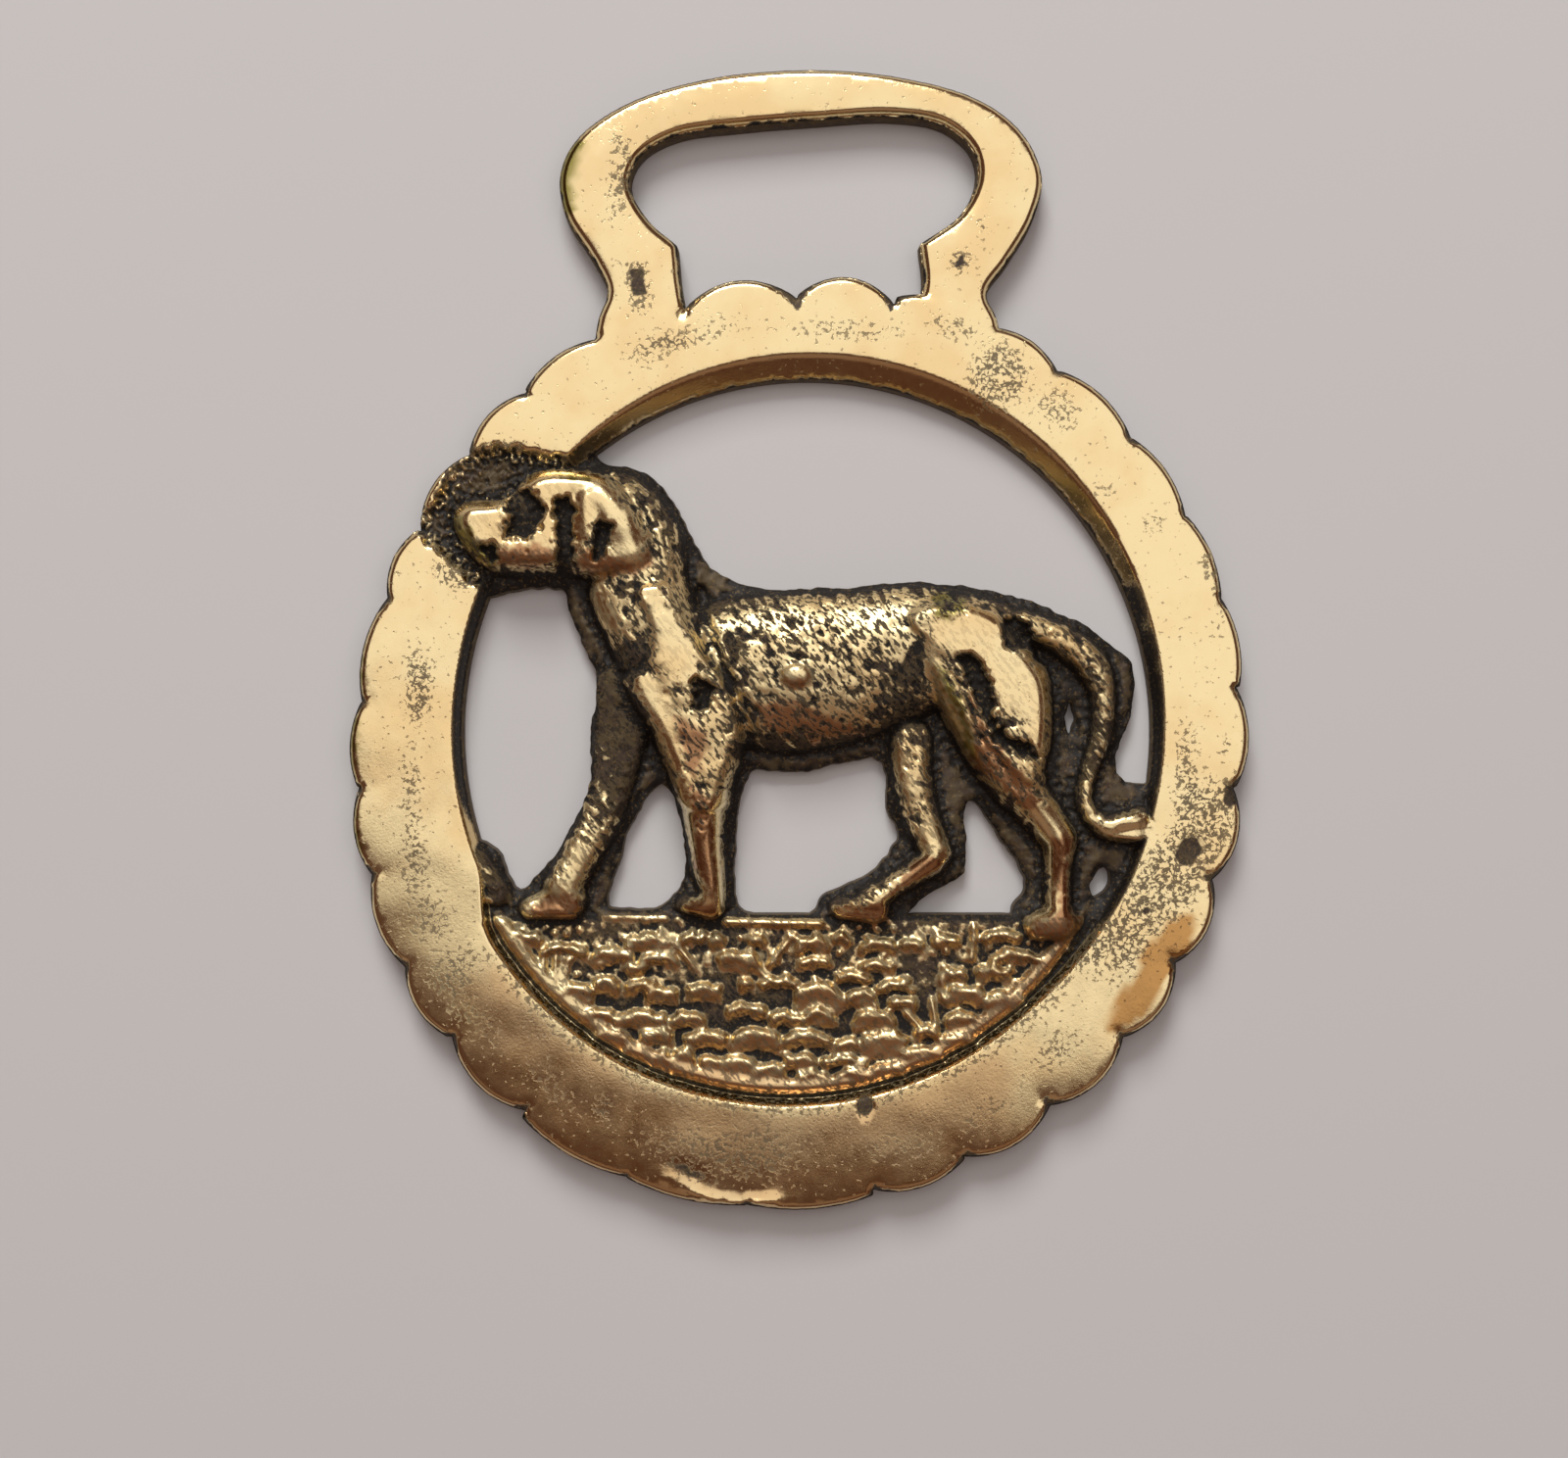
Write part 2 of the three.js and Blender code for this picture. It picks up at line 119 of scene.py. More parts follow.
def smoothLine(points, perSpan, closed=False):  # a smooth line through a few points, with any further columns
    p = np.array(points, float)
    if closed:
        p = np.vstack([p[-1:], p, p[:2]])
    else:
        p = np.vstack([2 * p[:1] - p[1:2], p, 2 * p[-1:] - p[-2:-1]])
    made = []
    t = np.linspace(0, 1, perSpan, endpoint=False)[:, None]
    for a, b, c, d in zip(p, p[1:], p[2:], p[3:]):
        k = [max(np.linalg.norm(v[:2]) ** 0.5, 1e-3) for v in (b - a, c - b, d - c)]
        m = ((b - a) / k[0] - (c - a) / (k[0] + k[1]) + (c - b) / k[1]) * k[1]
        n = ((c - b) / k[1] - (d - b) / (k[1] + k[2]) + (d - c) / k[2]) * k[1]
        made.append(b + m * t + (3 * (c - b) - 2 * m - n) * t**2 + (2 * (b - c) + m + n) * t**3)
    if not closed:
        made.append(p[-2:-1])
    return np.vstack(made)


def lineDistance(points, reach, closed=False):  # distance from a line, out to a reach
    made = np.full(across.shape, float(reach))
    ends = np.roll(points, -1, axis=0) if closed else points[1:]
    for a, b in zip(points, ends):
        (x0, x1), (y0, y1) = sorted((a[0], b[0])), sorted((a[1], b[1]))
        w = window(x0 - reach, x1 + reach, y0 - reach, y1 + reach)
        px, py, d = across[w] - a[0], up[w] - a[1], b - a
        t = np.clip((px * d[0] + py * d[1]) / max(d[0] ** 2 + d[1] ** 2, 1e-9), 0, 1)
        made[w] = np.minimum(made[w], np.hypot(px - t * d[0], py - t * d[1]))
    return made


def insideOf(points):
    made = np.zeros(across.shape, bool)
    for a, b in zip(points, np.roll(points, -1, axis=0)):
        i0, i1 = np.searchsorted(rows, sorted((a[1], b[1])))
        if i1 > i0:
            x = a[0] + (rows[i0:i1] - a[1]) * (b[0] - a[0]) / (b[1] - a[1])
            made[i0:i1] ^= columns[None, :] < x[:, None]
    return made


def outlineField(points, reach=2.0):  # signed distance from a closed outline, below nothing inside
    away = lineDistance(points, reach, closed=True)
    return np.where(insideOf(points), -away, away)


def shapeField(points, reach=2.0, perSpan=5):  # the same for a smooth outline through a few points
    return outlineField(smoothLine(points, perSpan, closed=True), reach)


def halfRound(share):  # a half-round's height from its middle, 0, to its edge, 1
    return np.sqrt(np.maximum(1 - share**2, 0))


def ellipseField(x, y, a, b, lean=0.0):  # 1 on the ellipse
    s, c = math.sin(math.radians(lean)), math.cos(math.radians(lean))
    dx, dy = across - x, up - y
    return np.hypot((dx * c + dy * s) / a, (dy * c - dx * s) / b)


# The ring, by bearing from the top.

ring = {
    "outer": (34.6, 36.05), "outOfRound": ((2, 47, 0.5), (3, -13, 0.2)), "peak": 0.2,
    "holeCentre": (0.75, 1.0), "holeHalf": (26.95, 27.5),
    "bevel": 0.5, "bevelExtra": 1.2, "bevelSide": 12, "wall": 1.5,
    "face": 2.98, "crown": 3.08, "edge": 2.1, "round": 0.75,
}
scallops = (  # (width in degrees, depth), clockwise from the notch at the top
    (12.5, 1.6), (11.5, 0.9), (11, 0.9), (12.5, 0.7), (12, 0.6), (11.5, 0.5), (11.5, 0.5), (13, 0.8),
    (12.5, 1.1), (12, 1.1), (12, 1.1), (13, 1.1), (13, 1.1), (12.5, 0.9), (16, 0.4), (15, 0.3), (15, 0.4),
    (13.5, 1.1), (10.5, 0.8), (12.5, 0.8), (11.5, 0.8), (11, 0.6), (14, 0.7), (10, 0.8), (12, 1), (11, 0.9),
    (11, 0.6), (10.5, 0.6), (16, 1.9),
)
mound = {
    "centre": (-0.75, -0.8), "radius": 26.4, "groundLine": -13.3, "top": 2.0,
    "border": {"inset": 0.7, "halfWidth": 0.6, "height": 0.5},
    "ledges": (((-15.1, -13.3), (-10.2, -13.4)), ((-5.6, -13.7), (1.8, -13.9))),
    "ledge": {"halfWidth": 0.35, "height": 0.6},
    "tuft": {"lip": 0.3, "bend": 0.28, "edge": 0.14, "low": 0.5, "high": 1.0, "longer": 1.05},
}
tufts = (  # (x, y of the lip, half-width, how far it reaches down)
    (-21.2, -14.6, 1.2, 0.9), (-18.2, -15.5, 1.7, 0.6), (-14.4, -15.8, 1.5, 1), (-11.6, -14.7, 1.6, 1.2),
    (-8.2, -14.6, 0.9, 0.6), (-6.2, -14.8, 0.5, 1), (-3.2, -14.8, 0.6, 0.8), (1.1, -14.9, 1.2, 1.1),
    (3.4, -14.8, 0.7, 0.5), (6.3, -15.1, 1.4, 0.9), (9, -15.2, 0.8, 0.6), (11.4, -14.9, 1, 0.7),
    (15.8, -14.5, 1.5, 0.6), (-10.8, -16.2, 1.4, 0.8), (-12.6, -17, 0.7, 0.8), (-5.2, -16.1, 0.8, 1.2),
    (-3.8, -16.2, 0.8, 1.4), (1.3, -16.5, 1.1, 0.6), (16.9, -16, 1.9, 0.8), (4.2, -17.7, 1.2, 0.5),
    (7.6, -18.3, 1.5, 0.6), (-1.5, -18.1, 1.4, 0.5), (6.2, -16.8, 1.3, 0.6), (15.2, -17.2, 1.3, 1),
    (12, -17.5, 1, 0.8), (1.6, -18.6, 1.7, 1.6), (4.9, -19.1, 1.3, 1.1), (-7.2, -18.6, 1.3, 1),
    (-4, -18.2, 0.5, 0.9), (-12.2, -18.3, 1.2, 0.9), (-10.6, -18.9, 1.1, 1), (-17.2, -18.6, 1.2, 1.5),
    (-15, -18, 0.9, 1.2), (-12.2, -20.7, 2, 1.2), (-15.2, -20.5, 1, 0.9), (-8.5, -20.8, 1.3, 1),
    (-4.1, -20.1, 1.4, 0.8), (-1, -20.8, 1.3, 0.8), (1.6, -20.5, 1.3, 1.1), (6, -20.6, 1.6, 1.4),
    (8.2, -19.7, 1, 0.7), (12.9, -18.7, 1.5, 1.4), (16.2, -19.2, 1.7, 2), (12.8, -20.8, 1.3, 1.3),
    (12.4, -22.5, 1.3, 0.9), (-14.5, -22.2, 1.5, 1.3), (-11, -22.1, 1.3, 1.2), (-7.2, -22.2, 1.5, 1.2),
    (-3.3, -22.1, 1.7, 1.4), (0.8, -22.3, 1.9, 1), (6.8, -22.3, 1.7, 1.9), (10, -21.9, 1, 0.9),
    (3.9, -22.9, 0.9, 0.9), (-12.8, -23.5, 1.2, 1.2), (-10.6, -23.9, 0.8, 1.6), (-8.8, -23.6, 0.8, 1.6),
    (-6.8, -24.1, 0.8, 1.4), (-4.7, -24.2, 1.2, 1.6), (-2.2, -24.7, 1.2, 1.4), (0.2, -24, 1.3, 1.2),
    (3.5, -24.1, 1.7, 0.8), (4.2, -25.2, 1.3, 0.7), (1, -25.3, 1.1, 0.8), (9.8, -23.5, 1.6, 1.3),
    (7, -24.8, 1.3, 0.8),
)
stalks = (  # thin raised strokes among the tufts
    ((-10.6, -14.8), (-9.2, -15.8), (-8, -17.4)), ((-20.9, -16.3), (-20.3, -18.4)),
    ((-19.8, -16.5), (-19.5, -19)), ((-18.8, -16.5), (-18.9, -19.2)), ((-17.8, -16.7), (-18.3, -18.8)),
    ((-0.2, -14.8), (-1.2, -15.8), (-2.2, -17.2)), ((10.4, -19.8), (10.8, -22.2)),
    ((8.4, -20.8), (10, -22.4)), ((13.7, -14.2), (13.5, -16.6)), ((-3.4, -16.8), (-2.6, -18)),
    ((11.3, -18.2), (11.2, -19.8)), ((-9.2, -24.6), (-10, -26.6)),
)

reach = np.hypot(across, up)
bearing = np.mod(np.arctan2(across, up), 2 * math.pi)


def ellipseReach(centre, half):  # where a ray from the ring's centre leaves an ellipse
    dx, dy = np.sin(bearing), np.cos(bearing)
    a = (dx / half[0]) ** 2 + (dy / half[1]) ** 2
    b = -2 * centre[0] * dx / half[0] ** 2 - 2 * centre[1] * dy / half[1] ** 2
    c = (centre[0] / half[0]) ** 2 + (centre[1] / half[1]) ** 2 - 1
    return (-b + np.sqrt(b * b - 4 * a * c)) / (2 * a)


def ringEdges():
    starts = np.concatenate([[0], np.cumsum([s[0] for s in scallops])])
    which = np.clip(np.searchsorted(starts, np.degrees(bearing), side="right") - 1, 0, len(scallops) - 1)
    share = (np.degrees(bearing) - starts[which]) / np.array([s[0] for s in scallops])[which]
    depth = np.array([s[1] for s in scallops])[which]
    bulge = np.sin(math.pi * np.clip(share, 0, 1)) ** 0.8
    outer = ellipseReach((0, 0), ring["outer"]) + ring["peak"] - depth * (1 - bulge)
    for lobes, towards, amount in ring["outOfRound"]:
        outer = outer + amount * np.cos(lobes * (bearing - math.radians(towards)))
    hole = ellipseReach(ring["holeCentre"], ring["holeHalf"])
    arc = ellipseReach(mound["centre"], (mound["radius"],) * 2) + 0.5
    below = ramp(0.35, 0.55, -np.cos(bearing))
    return hole + (np.maximum(hole, arc) - 0.2 - hole) * below, outer, hole, depth * (1 - bulge) ** 2


ringInner, ringOuter, holeEdge, notch = ringEdges()
ringField = np.maximum(ringInner - reach, reach - ringOuter)
widest = np.maximum(0, np.cos(bearing - math.radians(ring["bevelSide"]))) ** 1.6
bevel = ring["bevel"] + ring["bevelExtra"] * widest


def roundedEdge(shape, inward, above=0.0):  # a height that rises from the edge to the face
    turn = 1 - np.clip(inward / shape["round"], 0, 1)
    return shape["edge"] + (shape["face"] + above - shape["edge"]) * np.sqrt(1 - turn**2.4)


def ringHeight():
    fromInner, fromOuter = reach - ringInner, ringOuter - reach
    slope = ring["wall"] + (ring["face"] - ring["wall"]) * np.clip(fromInner / bevel, -0.2, 2)
    middle = (fromInner - bevel) / np.maximum(ringOuter - ring["round"] - ringInner - bevel, 1)
    face = ring["face"] + (ring["crown"] - ring["face"]) * (1 - np.clip(2 * middle - 1, -1, 1) ** 2)
    made = softMin(softMin(face, slope, 0.12), roundedEdge(ring, fromOuter, 0.06), 0.15)
    return np.where(ringField < 0.4, made, nowhere)


print("ring drawn")

# The hanger, between pairs of points outside and round its slot.

hanger = {
    "stations": (  # (outer point, slot point), left foot to right foot
        ((-15.8, 30.6), (-8.4, 30.2)), ((-15.4, 33), (-8.6, 32.8)), ((-14.7, 35.2), (-9.1, 35.5)),
        ((-15.9, 37.8), (-9.4, 38.7)), ((-17.9, 41.0), (-11.6, 40.6)), ((-18.4, 44.0), (-13.1, 43.5)),
        ((-17.2, 46.8), (-12.2, 45.7)), ((-13.6, 49.5), (-9.4, 47.3)), ((-7.5, 51.5), (-4.5, 48.0)),
        ((0.3, 52.3), (1.5, 48.5)), ((7.5, 51.8), (7.2, 48.8)), ((14.0, 50.0), (11.3, 48.1)),
        ((17.4, 47.4), (13.6, 46.1)), ((18.9, 44.0), (14.0, 43.9)), ((18.2, 40.8), (12.6, 41.0)),
        ((16.2, 37.4), (9.5, 38.8)), ((14.6, 35.0), (9.8, 35.8)), ((15.4, 33), (9.2, 32.8)),
        ((15.8, 30.6), (9.0, 30.2)),
    ),
    "cusps": (3, 15), "perStation": 6, "face": 2.85, "crown": 3.0, "edge": 2.0, "round": 0.65,
}


def hangerOutline():
    outside = smoothLine([s[0] for s in hanger["stations"]], hanger["perStation"])
    slotPoints = [s[1] for s in hanger["stations"]]
    ends = (0, *hanger["cusps"], len(slotPoints) - 1)
    slot = [smoothLine(slotPoints[a : b + 1], hanger["perStation"]) for a, b in zip(ends, ends[1:])]
    return np.vstack([outside, np.vstack(slot)[::-1]])


hangerField = outlineField(hangerOutline(), 3.2)


def hangerHeight():
    inward = -hangerField
    crown = (hanger["crown"] - hanger["face"]) * np.clip((inward - hanger["round"]) / 1.8, 0, 1)
    return np.where(hangerField < 0.4, roundedEdge(hanger, inward) + crown, nowhere)


print("hanger drawn")

# The pierced plate behind the hound.

plate = {"thickness": 1.6, "overlap": 3.0, "round": 0.7, "drop": 0.4}
gaps = {
    "overBack": (
        (-16.4, 22.9), (-15.2, 21.7), (-12.8, 21.5), (-11, 20.5), (-9.6, 18.6), (-8.4, 16.2), (-7.2, 14),
        (-5.4, 12.8), (-3, 12.1), (2, 12.1), (9.5, 12.6), (14.5, 12), (19.5, 10.7), (23.5, 8.4), (26, 6.2),
        (26.1, 3.4), (25.3, 0.8), (24.8, -2.2), (26.2, -3.3), (29.2, -2), (29, 12), (23, 23), (10, 30.2),
        (-8, 30), (-19.5, 24.8),
    ),
    "underMuzzle": (
        (-24.4, 11.4), (-21, 12.3), (-18.2, 12), (-17.7, 10), (-16.8, 8), (-15.7, 5.8), (-15.7, 3.5),
        (-16.1, 0.5), (-16, -2.5), (-17.6, -6.5), (-19.8, -9.8), (-21.7, -11.4), (-23.6, -8.2), (-26, -6.8),
        (-28.5, -2), (-28.5, 5), (-27, 10),
    ),
    "betweenForelegs": (
        (-10.7, -3), (-12.4, -4.9), (-13.7, -7.8), (-14.6, -10.8), (-14.8, -12.6), (-12.5, -12.9),
        (-10.4, -12.6), (-8.9, -10.7), (-8.7, -8.5), (-9.3, -5),
    ),
    "underBelly": (
        (-3.7, -2), (-4.7, -5), (-4.9, -8.5), (-4.8, -12.2), (-3.9, -13.3), (-1.3, -13.4), (1.3, -13.1),
        (2, -12), (3.6, -11.1), (5.6, -10), (7.3, -8.3), (8, -7), (7.2, -5), (6.9, -2.2), (6.2, -0.95),
        (4, -1.3), (1, -2), (-1.5, -2),
    ),
    "betweenHindLegs": (
        (13.6, -4.4), (12.9, -5.6), (13, -9.7), (11.6, -10.9), (9.4, -12.1), (8.4, -13.4), (10.5, -13.9),
        (13.5, -14), (16.5, -13.8), (16.9, -12.5), (17.8, -11.1), (17.2, -9.3), (15.9, -7.2),
    ),
}
slits = {"behindHock": (23.6, -10.7, 0.75, 1.35, -22), "besideTail": (21.3, 2.1, 0.32, 1.2, 0)}

gapField = np.full(across.shape, 2.0)
for outline in gaps.values():
    gapField = np.minimum(gapField, shapeField(outline))
for x, y, a, b, lean in slits.values():
    gapField = np.minimum(gapField, (ellipseField(x, y, a, b, lean) - 1) * min(a, b))
gapField += 0.035 * grain(0.45, 37) + 0.06 * grain(1.6, 39)  # a cast edge isn't quite even
plateField = np.maximum(reach - holeEdge - plate["overlap"], -gapField)
reachMound = np.hypot(across - mound["centre"][0], up - mound["centre"][1])
moundField = np.maximum(reachMound - mound["radius"], up - mound["groundLine"])
region = np.minimum(np.minimum(ringField, hangerField), np.minimum(plateField, moundField))

metal = (region < 0.1).astype(float)
metalShare = {radius: np.maximum(blur(metal, radius), 0.02) for radius in (0.1, 0.15, 0.5, 0.9)}


def evenOut(field, radius):  # a blur that takes nothing from the empty holes
    return blur(field * metal, radius) / metalShare[radius]


print("plate pierced")

# The hound.

hound = {  # half-round bars: (x, y, half-width, height above the plate)
    "trunk": (
        (-5.6, 6.2, 5, 2.9), (-1.5, 5.6, 6.1, 3.5), (4.5, 6.2, 5.7, 3.5), (9.5, 7.4, 4.9, 3.3),
        (14, 7.2, 4.3, 3.1),
    ),
    "neck": ((-11.4, 15.4, 2.4, 2.6), (-12, 11.6, 3.6, 3.1), (-10.6, 7.6, 3.7, 3.4)),
    "throat": ((-15, 12, 1.2, 2.3), (-14.3, 10, 1.3, 2.5), (-12.9, 8.2, 1.3, 2.5)),
    "nape": ((-15, 19.2, 1.7, 2.4), (-12.3, 17.7, 1.9, 2.4), (-10.4, 14, 1.7, 2.2)),
    "skull": ((-20.4, 16.6, 1.8, 1.3), (-16, 16.8, 3.2, 1.7)),
    "brow": ((-20.7, 20.1, 0.7, 2.7), (-18, 20, 1, 3.2), (-15.4, 19.6, 1.4, 3.5)),
    "muzzle": ((-25.3, 17.2, 1.5, 2.5), (-23.5, 16.5, 2.3, 3), (-21.4, 15.7, 1.9, 2.6)),
    "jaw": ((-23.9, 15.2, 1.2, 2.2), (-21.6, 14.8, 1.15, 2.4), (-19.3, 14.9, 1.2, 2.4)),
    "cheek": ((-19.4, 18.8, 0.85, 2.9), (-19.3, 16.6, 0.9, 2.9), (-19.3, 15, 0.95, 2.4)),
    "earFront": ((-16.3, 18.9, 0.95, 3.7), (-16.3, 16.4, 1, 3.6), (-16.2, 14.2, 0.95, 3.1)),
    "earBack": ((-15, 19.2, 1.4, 3.8), (-13.7, 17.2, 1.8, 4), (-12.9, 15, 1.6, 3.5)),
    "farForeleg": (
        (-13.2, 4, 2.6, 1.3), (-14.1, -1, 1.9, 1.3), (-15.3, -5.5, 1.6, 1.7), (-17, -8.8, 1.5, 1.9),
        (-18.2, -11, 1.5, 2.1),
    ),
    "farForepaw": ((-17.9, -12.1, 1.5, 2.2), (-20.8, -12.7, 0.8, 1.6)),
    "shoulder": ((-10.2, 9.2, 1.8, 3.8), (-9, 4.8, 2.8, 3.8), (-7.3, 1, 2.9, 3.4)),
    "nearForeleg": (
        (-7.4, 0.8, 2.7, 3.3), (-7.3, -3, 1.95, 3.1), (-7.2, -7, 1.4, 2.9), (-6.8, -10.4, 1.1, 2.8),
        (-6.6, -12, 0.95, 2.7),
    ),
    "nearForepaw": ((-6.7, -12.5, 1.05, 2.3), (-8.6, -12.4, 0.7, 1.7)),
    "farThigh": ((8.8, 0.4, 1.6, 1.6), (9, -3, 1.5, 1.8), (10, -6.6, 1.3, 2), (10.8, -8.4, 1.2, 2.2)),
    "farHock": ((10.6, -8.9, 1.1, 2.3), (8, -10.6, 0.9, 2.2), (5.6, -12, 1, 2.2)),
    "farHindpaw": ((5.9, -12.7, 1.2, 2.3), (3.4, -12.7, 0.8, 1.8)),
    "haunch": ((12.9, 9.2, 2.4, 3.3), (15.4, 6.9, 2.6, 3.4), (17, 4, 2.2, 3.3), (17.9, 0.8, 1.5, 3.2)),
    "flank": (
        (9.9, 9.2, 1.5, 3.6), (11, 6, 1.4, 3.7), (12.6, 2.6, 1.4, 3.5), (14.6, -0.6, 1.6, 3.3),
        (17, -3.4, 1.8, 3.1),
    ),
    "nearThigh": (
        (16.6, -0.4, 2, 3.3), (17.6, -3.6, 1.8, 3.1), (19.3, -5.9, 1.5, 2.7), (20.4, -7.4, 1.3, 2.5),
    ),
    "nearHock": ((20.4, -7.4, 1.3, 2.5), (20.2, -10, 1, 2.4), (20.2, -12.4, 1, 2.3)),
    "nearHindpaw": ((20.2, -13.7, 1.5, 2.4), (18.7, -14.1, 1.1, 1.9)),
    "tail": (
        (17.4, 9.4, 1.1, 2.3), (20.6, 8, 1.2, 2), (22.8, 6.2, 1.3, 1.9), (23.7, 3.8, 1, 1.7),
        (23.5, 0.6, 0.75, 1.6), (22.6, -2.2, 0.65, 1.5), (22.3, -4.6, 0.6, 1.5), (23.6, -6.2, 0.85, 1.7),
        (26, -6.3, 1.25, 1.8),
    ),
    "web": ((-26.3, -7.4, 0.8, 0.9), (-24.9, -9.6, 1.2, 1.1), (-23.4, -11.6, 1, 0.9)),
}
softBars = {
    "trunk": 0.9, "neck": 0.9, "throat": 0.8, "nape": 0.8, "haunch": 0.6, "flank": 0.5, "shoulder": 0.7,
    "skull": 1.0, "cheek": 0.6, "brow": 0.6, "nearThigh": 0.6, "nearForeleg": 0.5,
}
lobes = {  # flat-topped lobes over an outline: height above the plate, and how wide their rounded edge is
    "head": {"rise": 3.35, "round": 0.95, "soft": 0.3, "outline": (
        (-27.1, 17.7), (-26.6, 18.8), (-25, 19.2), (-23.4, 19), (-22.2, 19.4), (-21.5, 20.4), (-20.4, 21.2),
        (-18.5, 21.4), (-15.6, 21.1), (-14.2, 20.5), (-13, 19), (-12, 17.6), (-11, 16), (-10.8, 14.4),
        (-12, 13.1), (-14.2, 12.8), (-16.3, 12.9), (-18, 13.2), (-20.6, 13.3), (-23.2, 13.3), (-24.9, 14),
        (-26, 15.3), (-26.8, 16.6),
    )},
    "ear": {"rise": 3.75, "round": 1.6, "soft": 0.4, "outline": (
        (-17.4, 19.4), (-17.4, 16), (-17.3, 14), (-16.3, 13.2), (-14.2, 12.9), (-12.2, 13.2), (-11.1, 14.5),
        (-11.4, 16), (-12.3, 17.6), (-13.3, 19), (-14.6, 20.3), (-16, 20.6),
    )},
    "occiput": {"rise": 2, "round": 2.2, "soft": 0.9, "outline": (
        (-16.5, 21.2), (-14, 21.4), (-11.8, 20.4), (-10, 18.4), (-8.8, 15.8), (-9.6, 14), (-12.5, 16.5),
    )},
    "chest": {"rise": 3.75, "round": 0.45, "soft": 0.5, "outline": (
        (-13.4, 5.2), (-11.8, 6.3), (-11.4, 9), (-12.6, 12), (-10, 12.4), (-8.4, 9.6), (-7, 7), (-5.2, 4.6),
        (-4.4, 2), (-4.3, -0.6), (-5.2, -3), (-5.6, -5), (-8.8, -5), (-9.9, -2.4), (-10.6, -0.8),
        (-11.5, 1.4), (-12.7, 3.2),
    )},
    "tailTip": {"rise": 1.7, "round": 0.5, "soft": 0.3, "outline": (
        (22.6, -5.7), (23.8, -5.9), (25.4, -5.2), (27.1, -4.9), (27.4, -6.2), (27.1, -7.6), (25.4, -7.6),
        (23.4, -7.2),
    )},
    "haunch": {"rise": 3.8, "round": 0.75, "soft": 0.4, "outline": (
        (8.8, 10.6), (11.4, 11.2), (13, 11.1), (15, 10.5), (16.6, 8.8), (18, 6.9), (19.3, 5.7), (19.7, 3),
        (19.6, 0), (19.2, -1.6), (19, -3.4), (16.8, -3), (14.6, -0.6), (12.4, 1.6), (11, 5), (9.6, 7.6),
        (8.2, 9.2),
    )},
}
turns = np.linspace(2.2, 4.2, 21)[:, None]  # bearings along the groove outside the mound's border
groove = np.hstack([np.sin(turns), np.cos(turns)]) * (mound["radius"] + 0.35) + mound["centre"]
cuts = {  # grooves and hollows: points, half-width, depth
    "foldStrip": (((10.9, 6.6), (13.2, 3.2), (14.2, 0.4)), 0.35, 0.3),
    "farPawFacet": (((-19.8, -12.1), (-18.2, -12.1)), 0.8, 0.4),
    "farHindPawFacet": (((3.6, -12.9), (6.0, -12.9)), 0.5, 0.3),
    "tailTipFacet": (((25.0, -6.7), (26.6, -6.5)), 0.5, 0.3),
    "behindShoulder": (((-7.4, 12.0), (-6.9, 8.5), (-5.6, 5.5), (-4.4, 3.0), (-3.7, 0.8)), 0.5, 0.5),
    "moundGroove": (groove, 0.22, 0.3),
}


def barHeight(stations, square):  # a half-round bar's rise above its floor, and below nothing outside it
    line = smoothLine(stations, 6)
    pad = line[:, 2].max() + 1.2
    w = window(line[:, 0].min() - pad, line[:, 0].max() + pad, line[:, 1].min() - pad, line[:, 1].max() + pad)
    made = np.full(across[w].shape, -5.0)
    for a, b in zip(line, line[1:]):
        px, py, d = across[w] - a[0], up[w] - a[1], b - a
        t = np.clip((px * d[0] + py * d[1]) / max(d[0] ** 2 + d[1] ** 2, 1e-9), 0, 1)
        wide, high = a[2] + t * d[2], a[3] + t * d[3]
        share = np.hypot(px - t * d[0], py - t * d[1]) / wide
        rounded = high * np.sqrt(np.maximum(1 - share**square, 0))
        made = np.maximum(made, np.where(share < 1, rounded, -2.5 * (share - 1) * wide))
    return w, made


def plateHeight():
    fromGap = ramp(-0.1, plate["round"], gapField)
    return np.where(plateField < 0.4, plate["thickness"] - plate["drop"] * (1 - fromGap), -5)


def houndHeight(height):
    for name, stations in hound.items():
        w, rise = barHeight(stations, 2.2 if name == "trunk" else 3.2)
        height[w] = softMax(height[w], plate["thickness"] + rise, softBars.get(name, 0.4))
    for lobe in lobes.values():
        inward = -shapeField(lobe["outline"], 3.0)
        turn = 1 - np.clip(inward / lobe["round"], 0, 1)
        dome = np.where(inward > 0, lobe["rise"] * np.sqrt(1 - turn**2), 3 * inward)
        height = softMax(height, plate["thickness"] + dome, lobe["soft"])
    height = softMin(height, evenOut(height, 0.9) + 0.55, 0.3)  # rubbing has flattened what stands proud
    knob = 0.55 * halfRound(ellipseField(-0.1, 5.3, 1.15, 0.9))
    return evenOut(height, 0.15) + knob


